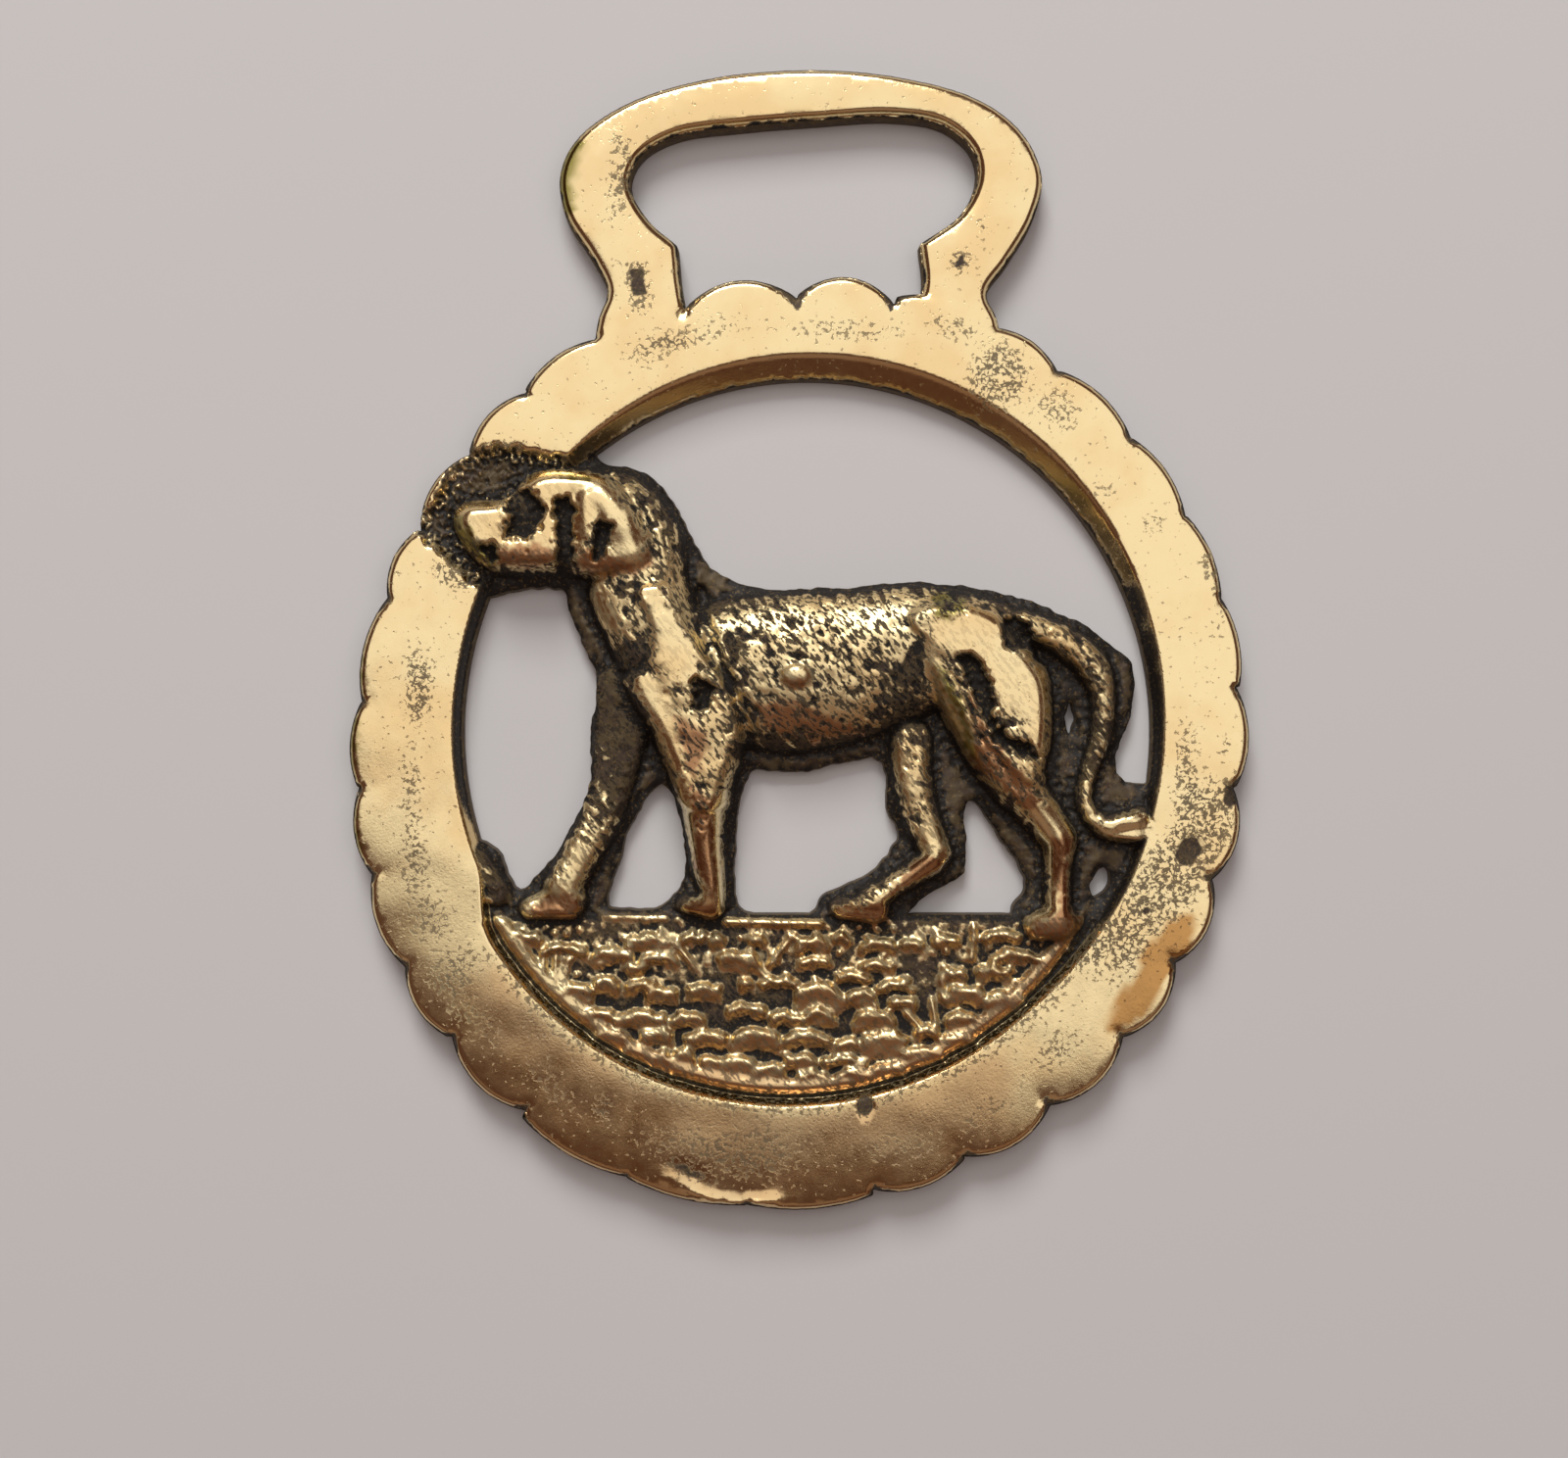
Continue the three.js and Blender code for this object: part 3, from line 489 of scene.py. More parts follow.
faces = {  # worn and dark faces, and faces of painted reflection and painted shade, by their outlines
    "bright": (
        ((-26.6, 18.2), (-26, 18.8), (-24.9, 18.9), (-23.6, 18.7), (-22.8, 18), (-22.9, 16.9), (-22.6, 15.9),
         (-20.8, 15.8), (-18.8, 15.7), (-18.8, 15), (-21, 15), (-23.4, 15.3), (-24.3, 15.6), (-26, 17)),
        ((-21, 20.4), (-20, 21), (-18, 21.1), (-15.2, 20.8), (-14, 19.4), (-13.2, 17.8), (-12.1, 16.6),
         (-11.7, 15.6), (-12.4, 14.4), (-13.5, 14.8), (-14.5, 15.8), (-14, 17), (-15.4, 17.2), (-16, 16),
         (-16.8, 15), (-17.2, 16), (-17, 18.4), (-17.6, 19.2), (-18.6, 18.8), (-18.7, 17), (-18.8, 15.6),
         (-20.2, 15.6), (-19.8, 17), (-19.3, 18), (-20, 19.2)),
        ((-12.7, 5.1), (-11, 5.2), (-9.8, 4.2), (-9.2, 1.6), (-8.7, -1.5), (-9.3, -2), (-9.9, -1), (-10.9, 2),
         (-11.9, 3.2)),
        ((10.4, 9.9), (12.2, 9.7), (13, 10.4), (14.2, 10.4), (15.5, 9.3), (15.6, 8), (17, 6.7), (18.2, 5.9),
         (19, 4.6), (19.1, 2), (18.9, 0), (18.7, -1), (17.9, 0.2), (17.2, 2), (15.6, 2.9), (14.6, 5.2),
         (13.4, 6.8), (11.6, 7.3), (10.4, 8.4)),
        ((-12, 12), (-10.6, 12), (-9.9, 10.6), (-8.8, 8.7), (-7.7, 6.6), (-7.9, 4.6), (-9.4, 4.6),
         (-10.6, 6.6), (-10.8, 9.4)),
        ((17.2, -3.8), (19, -4.6), (21.8, -6.7), (21.4, -7.4), (20.8, -9), (21, -12.4), (21.8, -13.8),
         (20, -14.6), (17.6, -14), (18.2, -12.8), (19.3, -12.3), (19.2, -9.2), (18.6, -7.4)),
        ((5.9, -12), (8.4, -9.6), (10, -8.2), (11.6, -8.4), (11, -9.8), (8.4, -10.8), (7, -12.6),
         (6.4, -13.8), (3.6, -13.6), (2.6, -12.6), (4.4, -12.6)),
        ((22.4, -5), (23.4, -6), (25.2, -5.4), (26.9, -5.1), (27.2, -6.6), (26, -7.5), (23.4, -6.9)),
        ((-9.2, -2.6), (-8.5, -2.8), (-7.4, -7), (-6.6, -4), (-5.4, -3.6), (-5.8, -6.5), (-5.8, -13.2),
         (-8.4, -13.2), (-9, -12.4), (-7.4, -11.6), (-8, -8.8), (-8.8, -5.8)),
    ),
    "dark": (
        ((-21.8, 19.3), (-20.8, 19.6), (-20.1, 19), (-19.5, 18.2), (-19.7, 17.4), (-20.4, 16.2),
         (-21.4, 15.9), (-22.6, 16.1), (-22, 17.2), (-22.2, 18.5)),
        ((-18.6, 18.4), (-18.2, 18.8), (-17.5, 18.8), (-17.2, 18.1), (-17.4, 16.4), (-17.4, 13.2),
         (-18.4, 13.2), (-18.3, 15.6), (-18.5, 17)),
        ((-15.1, 16.9), (-14.4, 16.9), (-14.3, 16.2), (-14.8, 15.3), (-15, 14.2), (-15.5, 14.2),
         (-15.6, 15.4)),
        ((12.3, 6.9), (13.6, 6.6), (14.3, 5.2), (14.9, 3.4), (15.2, 1.6), (16.2, 0.6), (17.4, 0), (18.3, -1),
         (16.6, -0.5), (15.2, 0.4), (14.4, 1.8), (13.8, 3.4), (12.9, 5.4)),
        ((-24.3, 15.2), (-23.2, 15.2), (-23, 14.4), (-23.6, 14.3)),
        ((-8.2, 4.8), (-7.4, 5), (-6.6, 4.2), (-7, 2.8), (-7.9, 3), (-7.8, 4)),
        ((15.6, 8.9), (16.4, 9.8), (17.8, 9.2), (17.6, 7.6), (16.2, 7.4)),
    ),
    # painted reflection: facets that tilt down, drawn brown as if they mirror dark surroundings
    "copper": (
        ((-9.3, 2), (-7.2, 1), (-6.9, 0.2), (-7.3, -1.2), (-7.9, -2.4), (-8.3, -2), (-8.6, -0.8),
         (-9.1, 0.4)),
        ((-8.2, -3), (-6.9, -3.9), (-6.6, -5.5), (-6.4, -9), (-6.3, -11), (-6.6, -11.9), (-7.3, -10.2),
         (-8, -9.4), (-7.8, -7.5), (-8, -6), (-8.2, -4.2)),
        ((-8.2, -12.5), (-6.4, -12.4), (-6.2, -13.3), (-8.3, -13.4)),
        ((-20.4, -12.5), (-18.9, -11.6), (-17.4, -11.5), (-16.6, -12.8), (-18, -13.6), (-20.4, -13.5)),
        ((8.6, -9.6), (9.8, -8.7), (10.9, -8.8), (10.8, -9.8), (8.6, -10.6), (7.4, -11.6), (7.6, -10.8)),
        ((3.6, -13.2), (5.4, -12.3), (7, -12.4), (7.2, -13.4), (5.4, -14)),
        ((19.7, -7.2), (21.3, -7.2), (20.8, -9), (21, -12.2), (21.8, -13.8), (20.4, -14.8), (18, -14.4),
         (18.8, -13.6), (20, -13), (19.8, -10)),
        ((12.8, 4), (13.4, 3.6), (15.2, 0.2), (18.4, -4.4), (17.6, -5), (14.6, -2.4), (13.4, -1.8),
         (13.5, 0.4)),
        ((-23, 15), (-18.8, 15), (-18.8, 13.9), (-23, 13.9)),
        ((-16.9, 14.8), (-15.4, 14.8), (-13.4, 14.2), (-12, 14), (-11.2, 15.4), (-11.2, 13.8), (-12.6, 13.2),
         (-16.6, 13.4)),
        ((-1, 4.9), (0.6, 4.9), (0.4, 4.3), (-0.6, 4.3)),
        ((-3.4, 3), (-0.8, 3.4), (1.6, 2.6), (4.6, 1.4), (6.4, 0.8), (4, -0.2), (0, 0), (-2.4, 1.4)),
    ),
    # painted shade: rounded edges and small facets drawn olive
    "olive": (
        ((10.6, 11.8), (12.4, 11.7), (13, 10.9), (12.3, 10), (11.6, 9.8), (10.6, 9.9)),
        ((-26.9, 17.6), (-26.2, 17.6), (-25.2, 16.6), (-24.4, 15.4), (-23.2, 14.3), (-23.2, 13.8),
         (-24.6, 14.2), (-25.8, 15.4)),
        ((-18.2, 20.5), (-16.8, 20.6), (-15.6, 20.3), (-16.8, 20.1)),
        ((10.5, 6.2), (11.2, 5.8), (12.4, 3.6), (13, 2), (13.5, -0.8), (13, -0.6), (12.4, 1.8), (11.4, 3.8)),
        ((-35.6, 8), (-34.2, 10), (-33.6, 6), (-34.2, 0), (-34.3, -5), (-33.8, -9.4), (-35, -9.8),
         (-36.2, -4), (-36.4, 2)),
        ((-18.6, 41), (-17.6, 40.6), (-17.4, 44), (-16.6, 46.6), (-17.4, 47.4), (-18.9, 44.6)),
    ),
}


def covered(name, edge=0.12, spread=1.0):  # 1 inside the named outlines, with slightly ragged edges
    away = np.full(across.shape, spread)
    for outline in faces[name]:
        away = np.minimum(away, shapeField(outline, spread, 4))
    return ramp(edge, -edge, away + 0.14 * grain(0.3, 41))


def carve(height):
    height -= 0.95 * blur(covered("dark", 0.06) * (height > 3.2), 0.12)
    for points, halfWidth, depth in cuts.values():
        away = lineDistance(smoothLine(points, 6), halfWidth * 2.2)
        height -= depth * np.exp(-((away / halfWidth) ** 2)) * (away < halfWidth * 2.2)
    return np.maximum(height, thinnest - 9.0 * (region > 0.3))


def moundHeight():
    tuft, border = mound["tuft"], mound["border"]
    u0, v0 = across + 0.12 * grain(0.5, 33), up + 0.1 * grain(0.45, 34)
    lumps = np.maximum(grain(0.26, 38), 0) * ramp(-23, -16, up)
    made = mound["top"] - 0.5 + 0.05 * grain(0.35, 31) + 0.38 * lumps
    for x, y, halfWidth, drop in tufts:  # a bright lip above, and a face that falls away below it
        drop = drop * tuft["longer"]
        w = window(x - halfWidth - 0.8, x + halfWidth + 0.8, y - drop - halfWidth - 1, y + 0.8)
        u = np.abs(u0[w] - x) / halfWidth
        below = y - v0[w] - tuft["bend"] * halfWidth * u * u
        within = ramp(-tuft["edge"], 0, below) * ramp(1 + tuft["edge"] / halfWidth, 1, u)
        within *= ramp(drop + 2.5 * tuft["edge"], drop, below)
        fall = np.clip((below - tuft["lip"]) / max(drop - tuft["lip"], 0.3), 0, 1)
        face = tuft["high"] - (tuft["high"] - tuft["low"]) * fall
        made[w] = np.maximum(made[w], mound["top"] - 0.5 + face * within)
    for ends in stalks:
        away = lineDistance(smoothLine(ends, 4), 0.8)
        made = np.maximum(made, mound["top"] - 0.5 + 0.8 * halfRound(away / 0.28))
    made += ramp(-22.5, -17.5, up) * (0.06 * grain(0.45, 35) + 0.04 * grain(0.22, 36))
    for ends in mound["ledges"]:
        away = lineDistance(np.array(ends, float), 1.0)
        bump = mound["ledge"]["height"] * halfRound(away / mound["ledge"]["halfWidth"])
        made = np.maximum(made, mound["top"] + bump - 0.25)
    away = np.abs(reachMound - mound["radius"] + border["inset"]) / border["halfWidth"]
    lip = mound["top"] - 0.1 + border["height"] * halfRound(away) - 5.0 * (away > 1)
    made = softMax(made, lip, 0.15) - 0.4 * (1 - ramp(-0.05, 0.5, mound["groundLine"] - up))
    return np.where(moundField < 0.4, made, nowhere)


print("hound and mound drawn")

ground = np.maximum(plateHeight(), moundHeight())
height = houndHeight(ground.copy())
rise = np.clip(height - np.maximum(ground, plate["thickness"]), 0, 6)
frameHeight = softMax(ringHeight(), hangerHeight(), 0.2)
onFrame = ramp(-0.15, 0.15, frameHeight - height)
onMound = ramp(0.05, -0.05, moundField) * (1 - onFrame)
height = softMax(height, frameHeight, 0.2)
height = carve(height)

# Where the casting is worn, from 0 for dark to 1 for bright, and above 1 for smooth. Painted shade, shadow
# and reflection are added to the colours further on.

wear = {
    "hound": (0.5, 2.0, 0.6),  # rise that starts it, rise that has all of it, and how much
    "frame": 1.5, "strokes": 0.32,
}
bright = (  # more worn
    (-24.6, 16.9, 2.4, 1.9, -15, 0.5), (-21, 14.7, 2.6, 0.9, 0, 1), (-14, 14, 3.2, 0.9, 0, 0.8),
    (8.9, -1.6, 1.3, 2.6, 8, 0.6), (-14.9, 10.4, 1.2, 2.4, 25, 0.5), (-9.4, 8, 1.4, 4, -15, 0.35),
    (-8.4, -5.5, 0.5, 4.5, 5, 0.5), (-6.6, 1.2, 1.6, 2.2, 0, 0.3), (-5.9, -2.5, 1, 2.5, 3, 0.3),
    (-0.1, 5.3, 1.1, 0.9, 0, 0.9), (4.5, 9.6, 5, 1.2, -12, 0.3), (1.5, 2.6, 4, 2.2, -25, 0.15),
    (-5.6, 8, 1.2, 2.6, 10, 0.15), (8.4, 10.6, 2.2, 1, -15, 0.35), (10.6, 5.4, 0.6, 3.6, 12, 0.6),
    (12.6, 1.2, 0.6, 3.4, 25, 0.6), (12.4, 8, 1.6, 0.8, 0, 0.2), (16.4, -1.6, 2, 1.4, -35, 0.3),
    (10.3, -7, 1.1, 1.4, 0, 0.7), (8, -3, 0.5, 3.5, 8, 0.3), (-16.9, -8.6, 1.6, 2.4, 40, 0.5),
    (-19.2, -12, 2.6, 1.6, 10, 0.9), (23.7, 1, 0.5, 3.4, -3, 0.35), (22.5, -4, 0.5, 2, 0, 0.6),
    (20.8, 8, 2, 0.9, -35, 0.15), (18.6, 7.6, 1.4, 1.4, 0, 0.15), (23.4, 5.4, 1, 2, -20, 0.1),
)
dark = (  # less worn
    (-12.6, 6.6, 1.3, 1.3, 0, 1.3), (-13.4, 11.6, 1.2, 1, -30, 0.3), (-5.2, 5.6, 1, 4, 0, 0.25),
    (-7.4, 10.4, 0.7, 2.2, -20, 0.5), (-5, 6.6, 0.5, 2.4, -15, 0.35), (8.1, 3.2, 2.1, 3, -10, 0.5),
    (9, 6.6, 0.7, 1.8, -20, 0.5), (-11, 18, 0.9, 2.2, 35, 0.25), (0, -0.2, 7, 0.8, 0, 0.3),
    (-13.4, 2, 1.6, 3.4, 10, 0.9), (-14, -3, 1, 2, 10, 0.6), (9.6, -1.6, 0.8, 2.2, 10, 0.2),
)
patches = (  # pitted patches on the ring and the hanger
    (-13.8, 44, 1, 4.2, -5, 0.9), (-12.4, 36, 0.9, 1.3, 10, 1.6), (-12, 34.2, 1.2, 1, 0, 0.9),
    (12.6, 37.3, 0.8, 0.8, 0, 1.5), (14.3, 40, 0.4, 0.8, 0, 1.2), (-8, 31.8, 4.5, 1, 12, 0.62),
    (-11, 30.3, 2.6, 0.9, 20, 0.6), (4, 32, 5, 0.9, -3, 0.6), (12, 32.3, 2.2, 0.9, -20, 0.7),
    (15.5, 28.5, 2.3, 2.5, -30, 1.15), (20, 26, 1.9, 1.5, -40, 0.75), (23.6, 19.6, 1.4, 0.8, -55, 0.4),
    (27.5, 17, 0.9, 1.1, 0, 0.6), (32, 13.5, 0.7, 1.6, 20, 0.8), (30, -1.5, 0.9, 3.4, 0, 0.75),
    (31.4, -6, 2.4, 3.2, -15, 1.1), (28.6, -10.5, 2.6, 3.4, -30, 1.15), (25, -15, 2.4, 3.2, -38, 1),
    (-29.3, 4.5, 1.1, 2.8, 0, 1.1), (-29.8, -4.2, 0.8, 4.6, 0, 0.7), (-29.6, -9.5, 1.3, 2.2, 0, 0.7),
    (-28.6, -13.5, 1.6, 1.8, 30, 0.8), (-26.6, -17.4, 2.2, 1.8, 45, 0.85), (-25, -21, 1.4, 2.4, 40, 0.7),
    (-15, -28, 0.7, 0.9, 0, 1.4), (5.2, -28, 0.6, 0.8, 0, 1.9), (-3.5, -31.6, 3.4, 2, 0, 0.95),
    (-8.4, -33, 2.4, 0.5, -25, 1.5), (-9, -30.8, 3.6, 1.2, -14, 0.7), (-19, -26.5, 2.6, 0.9, -40, 0.6),
    (8, -31, 3, 1.1, 10, 0.6), (14.6, -28.4, 2.4, 1, 30, 0.65), (20, -23.6, 2.2, 1.2, 42, 0.7),
    (-26.2, 13.4, 1.7, 1.3, -20, 1.3), (-24, 22.4, 2.8, 0.8, 15, 1.3), (-28.4, 21, 0.9, 1.5, 30, 0.5),
    (33.4, -3.9, 0.5, 0.9, 0, 1.8), (33.1, -0.4, 0.22, 0.9, -30, 1.6), (32.4, 9, 0.7, 1.4, -15, 0.4),
)


def wearField():
    low, high, amount = wear["hound"]
    level = amount * ramp(low, high, rise) * (1 - onMound)
    raised = ramp(0.15, 0.6, rise)
    level = np.maximum(np.minimum(level + tally(bright) * raised, 1.1), 1.5 * covered("bright") * raised)
    level -= 1.6 * covered("dark") + tally(dark)
    besideMound = np.exp(-(((reachMound - mound["radius"] - 1.0) / 0.9) ** 2))
    besideMound *= ramp(0.45, 0.62, -np.cos(bearing))
    frameLevel = wear["frame"] - tally(patches) - 0.75 * besideMound
    return level * (1 - onFrame) + frameLevel * onFrame


def strokeField():  # hair lies along the body, steeper on the neck and flatter on the rump
    made = strokes(-49, 0.34, 0.105, 5)
    neck = ramp(-7, -10, across) * ramp(5, 8, up)
    rump = ramp(15, 17.5, across) * ramp(3, 6, up)
    made = made * (1 - neck) + strokes(-66, 0.32, 0.105, 6) * neck
    return made * (1 - rump) + strokes(-36, 0.34, 0.105, 7) * rump


level = wearField()
pitted = np.clip((wear["frame"] - level) / 1.0, 0, 1) * onFrame
speckle = grain(0.17, 11)
hair = 0.95 * strokeField() + 0.25 * speckle
onHound = ramp(0.2, 0.7, rise) * (1 - onFrame) * (1 - onMound)
clumps = 0.08 * grain(0.45, 12) + 0.08 * grain(1.1, 13)
level += np.where(level > 0.1, 0.75 * (wear["frame"] - level), 0) * onFrame
score = level + (wear["strokes"] * hair + clumps) * onHound + 0.22 * speckle * onFrame
notchShadow = 0.8 * notch * (reach > ringOuter - 2) * (hangerField > 0.3)  # painted shadow in the notches between scallops
awayFromEdgeAndNotchShadow = ramp(0.02, 0.22, -region - notchShadow + 0.04 * grain(0.9, 18))
# the frame is drawn darker along its edges and in the painted notch shadows
score -= 1.3 * (1 - awayFromEdgeAndNotchShadow) * onFrame
polishLessShade = ramp(0.34, 0.6, score) * np.maximum(onHound, onFrame)
smoothness = ramp(0.9, 1.3, level)

muzzleBed = {"floor": 2.1, "outline": (
    (-27.6, 20.4), (-26, 22.2), (-24.6, 22.9), (-22.5, 23), (-20, 22.7), (-18, 22.2), (-17.4, 19),
    (-18.5, 12), (-24.4, 11.9), (-26, 13.2), (-27.6, 14.6), (-29.2, 16), (-30.6, 16.7), (-30.4, 17.5),
    (-29, 18), (-28.2, 19),
)}
bedEdge = shapeField(muzzleBed["outline"], 3.0) + 0.12 * grain(0.5, 19)
inBed = ramp(0.1, -0.5, bedEdge) * onFrame
dulled = ramp(0.4, 0.1, bedEdge - 0.12 * speckle) * onFrame
lumps = ramp(0.1, 1.1, speckle + 1.1 * ramp(-1.6, -0.4, bedEdge) - 0.6)
polishLessShade = polishLessShade * (1 - dulled) + dulled * 0.9 * lumps
bedFloor = muzzleBed["floor"] + 0.06 * grain(0.3, 14) + 0.3 * lumps
height += (np.minimum(height, bedFloor) - height) * inBed

fur = 0.09 * (polishLessShade - 0.5) * (1 - 0.7 * smoothness)
height += onHound * (fur + (0.025 * grain(1.1, 15) + 0.02 * hair) * (1 - 0.9 * smoothness))
furry = onHound * (1 - 0.85 * smoothness) + 0.7 * onMound
height += onFrame * (0.1 * (polishLessShade - 1) + 0.009 * grain(2.5, 16))
rough = (1 - np.maximum(onHound, onFrame)) * (1 - onMound) + onHound * (1 - polishLessShade)
height += rough * (0.05 * grain(0.35, 17) + 0.03 * speckle)
flashLip = lineDistance(smoothLine(((-10.6, -33.5), (-7.8, -34.7), (-4.5, -35.4), (-0.4, -35.1)), 6), 1.5)
height += 0.24 * np.exp(-(((flashLip + 0.1 * grain(0.7, 42)) / 0.19) ** 2)) * onFrame
hollow = evenOut(height, 0.5) - height
grimeAndShade = ramp(0.02, 0.3, hollow) + 0.5 * ramp(0.0, 0.6, evenOut(height, 0.9) - height)
grimeAndShade = np.clip(grimeAndShade + 0.3 * (1 - polishLessShade) * onHound * ramp(1.0, 2.4, rise), 0, 1)
aboveMound = height - mound["top"]
moundPolish = ramp(-0.32, -0.1, -hollow) * ramp(-0.28, -0.08, aboveMound + 0.04 * speckle)
polishLessShade = np.maximum(polishLessShade, 0.9 * moundPolish * onMound)
deep = ramp(-0.2, -0.4, aboveMound) * ramp(0.9, 0.2, blob(7, -15.6, 4, 2) + 0.3 * grain(0.5, 40))
grimeAndShade = np.minimum(grimeAndShade + 0.7 * deep * onMound, 1)
stainField = blob(28.6, -15.8, 3.0, 1.5, 50) + blob(26, -20, 2.8, 1.2, 52)
stain = ramp(0.45, 0.55, stainField + 0.12 * grain(1.2, 20)) * onFrame * ramp(29.0, 30.5, reach)

aroundTop = np.abs(np.degrees(np.mod(bearing + math.pi, 2 * math.pi)) - 180 - 10)
onBevel = ramp(0.25, -0.1, reach - ringInner - bevel) * onFrame
sides = {"from": 28, "full": 72, "fades": 105, "ends": 120}  # degrees from the top where the bevel gets painted shade
shaded = onBevel * ramp(sides["from"], sides["full"], aroundTop + 4 * grain(1.5, 43))
shaded *= ramp(sides["ends"], sides["fades"], aroundTop)
# painted shade on the bevel's sides: less polish and more of the dark colour
polishLessShade *= 1 - 0.85 * shaded
grimeAndShade = np.minimum(grimeAndShade + 0.4 * shaded, 1)

polishLessShade, grimeAndShade = evenOut(polishLessShade, 0.1), evenOut(grimeAndShade, 0.1)
# painted brown reflection on the hound's down-tilted facets, and painted olive shade on rounded edges
copper, olive = covered("copper", 0.2) * (1 - onFrame), covered("olive", 0.3)
turned = np.degrees(bearing) + 3 * grain(2.5, 21)
# painted brown reflection on the left of the mound's border
onBorder = ramp(1.0, 0.5, np.abs(reachMound - mound["radius"] + mound["border"]["inset"]))
copper += 0.5 * onBorder * ramp(-20, -12, across) * onMound
# painted brown reflection on the mound's faces that tilt towards -Y
facesSouth = ramp(-0.1, 0.35, np.gradient(blur(height, 0.1), sheet["step"], axis=0))
copper += 0.75 * facesSouth * onMound
# painted brown reflection on the bevel at the top of the ring
copper += 0.3 * onBevel * ramp(62, 50, aroundTop)
# painted brown reflection, with a little tarnish, on the lower part of the ring
lowerReflectionAndTarnish = ramp(145, 153, turned) * ramp(238, 228, turned)
lowerReflectionAndTarnish *= ramp(0.8, 1.5, reach - ringInner + 0.2 * speckle)
copper += 0.45 * lowerReflectionAndTarnish * onFrame * (1 - 0.5 * ramp(0.6, 0.2, flashLip))

# Materials.


def addObject(name, data):
    made = bpy.data.objects.new(name, data)
    bpy.context.scene.collection.objects.link(made)
    return made


def linear(hexCode):
    made = []
    for k in (0, 2, 4):
        c = int(hexCode[k : k + 2], 16) / 255
        made.append(c / 12.92 if c <= 0.04045 else ((c + 0.055) / 1.055) ** 2.4)
    return (*made, 1.0)


class Socket:  # a node's output that takes part in sums
    def __init__(self, tree, output):
        self.tree, self.output = tree, output

    def sum(self, operation, a, b):
        return node(self.tree, "ShaderNodeMath", {"operation": operation}, {0: a, 1: b})

    def __add__(self, other):
        return self.sum("ADD", self, other)

    def __radd__(self, other):
        return self.sum("ADD", other, self)

    def __sub__(self, other):
        return self.sum("SUBTRACT", self, other)

    def __rsub__(self, other):
        return self.sum("SUBTRACT", other, self)

    def __mul__(self, other):
        return self.sum("MULTIPLY", self, other)

    def __rmul__(self, other):
        return self.sum("MULTIPLY", other, self)

    def over(self, low, high):  # 0 below low, 1 above high
        return node(
            self.tree, "ShaderNodeMapRange", {"interpolation_type": "SMOOTHSTEP"},
            {"Value": self, "From Min": low, "From Max": high},
        )


def node(tree, kind, settings, inputs, output=0):
    made = tree.nodes.new(kind)
    for name, value in settings.items():
        setattr(made, name, value)
    for name, value in inputs.items():
        if isinstance(value, Socket):
            tree.links.new(value.output, made.inputs[name])
        else:
            made.inputs[name].default_value = value
    return Socket(tree, made.outputs[output])


def blend(tree, factor, a, b):  # colours
    mixed = {"Factor": factor, 6: a, 7: b}
    return node(tree, "ShaderNodeMix", {"data_type": "RGBA"}, mixed, 2)


brassLook = {
    "polished": linear("ecd7a4"), "warm": linear("dcae6c"), "stain": linear("bc8f56"),
    "copper": linear("b58a62"), "olive": linear("93884c"), "tarnish": linear("4a3c2e"),
    "moss": linear("5a4c34"), "grimeAndShade": linear("1b1713"), "glintFleck": linear("93794f"), "glintFleckSize": 4200,
    "polishedRough": 0.18, "hairRough": 0.24, "grimeRough": 0.6, "scratchSize": 900, "grainSize": 5200,
    "pitSize": 2600, "creaseSize": 1900,
    "hair": {"turn": -49, "long": 2.6, "size": 3500},
}


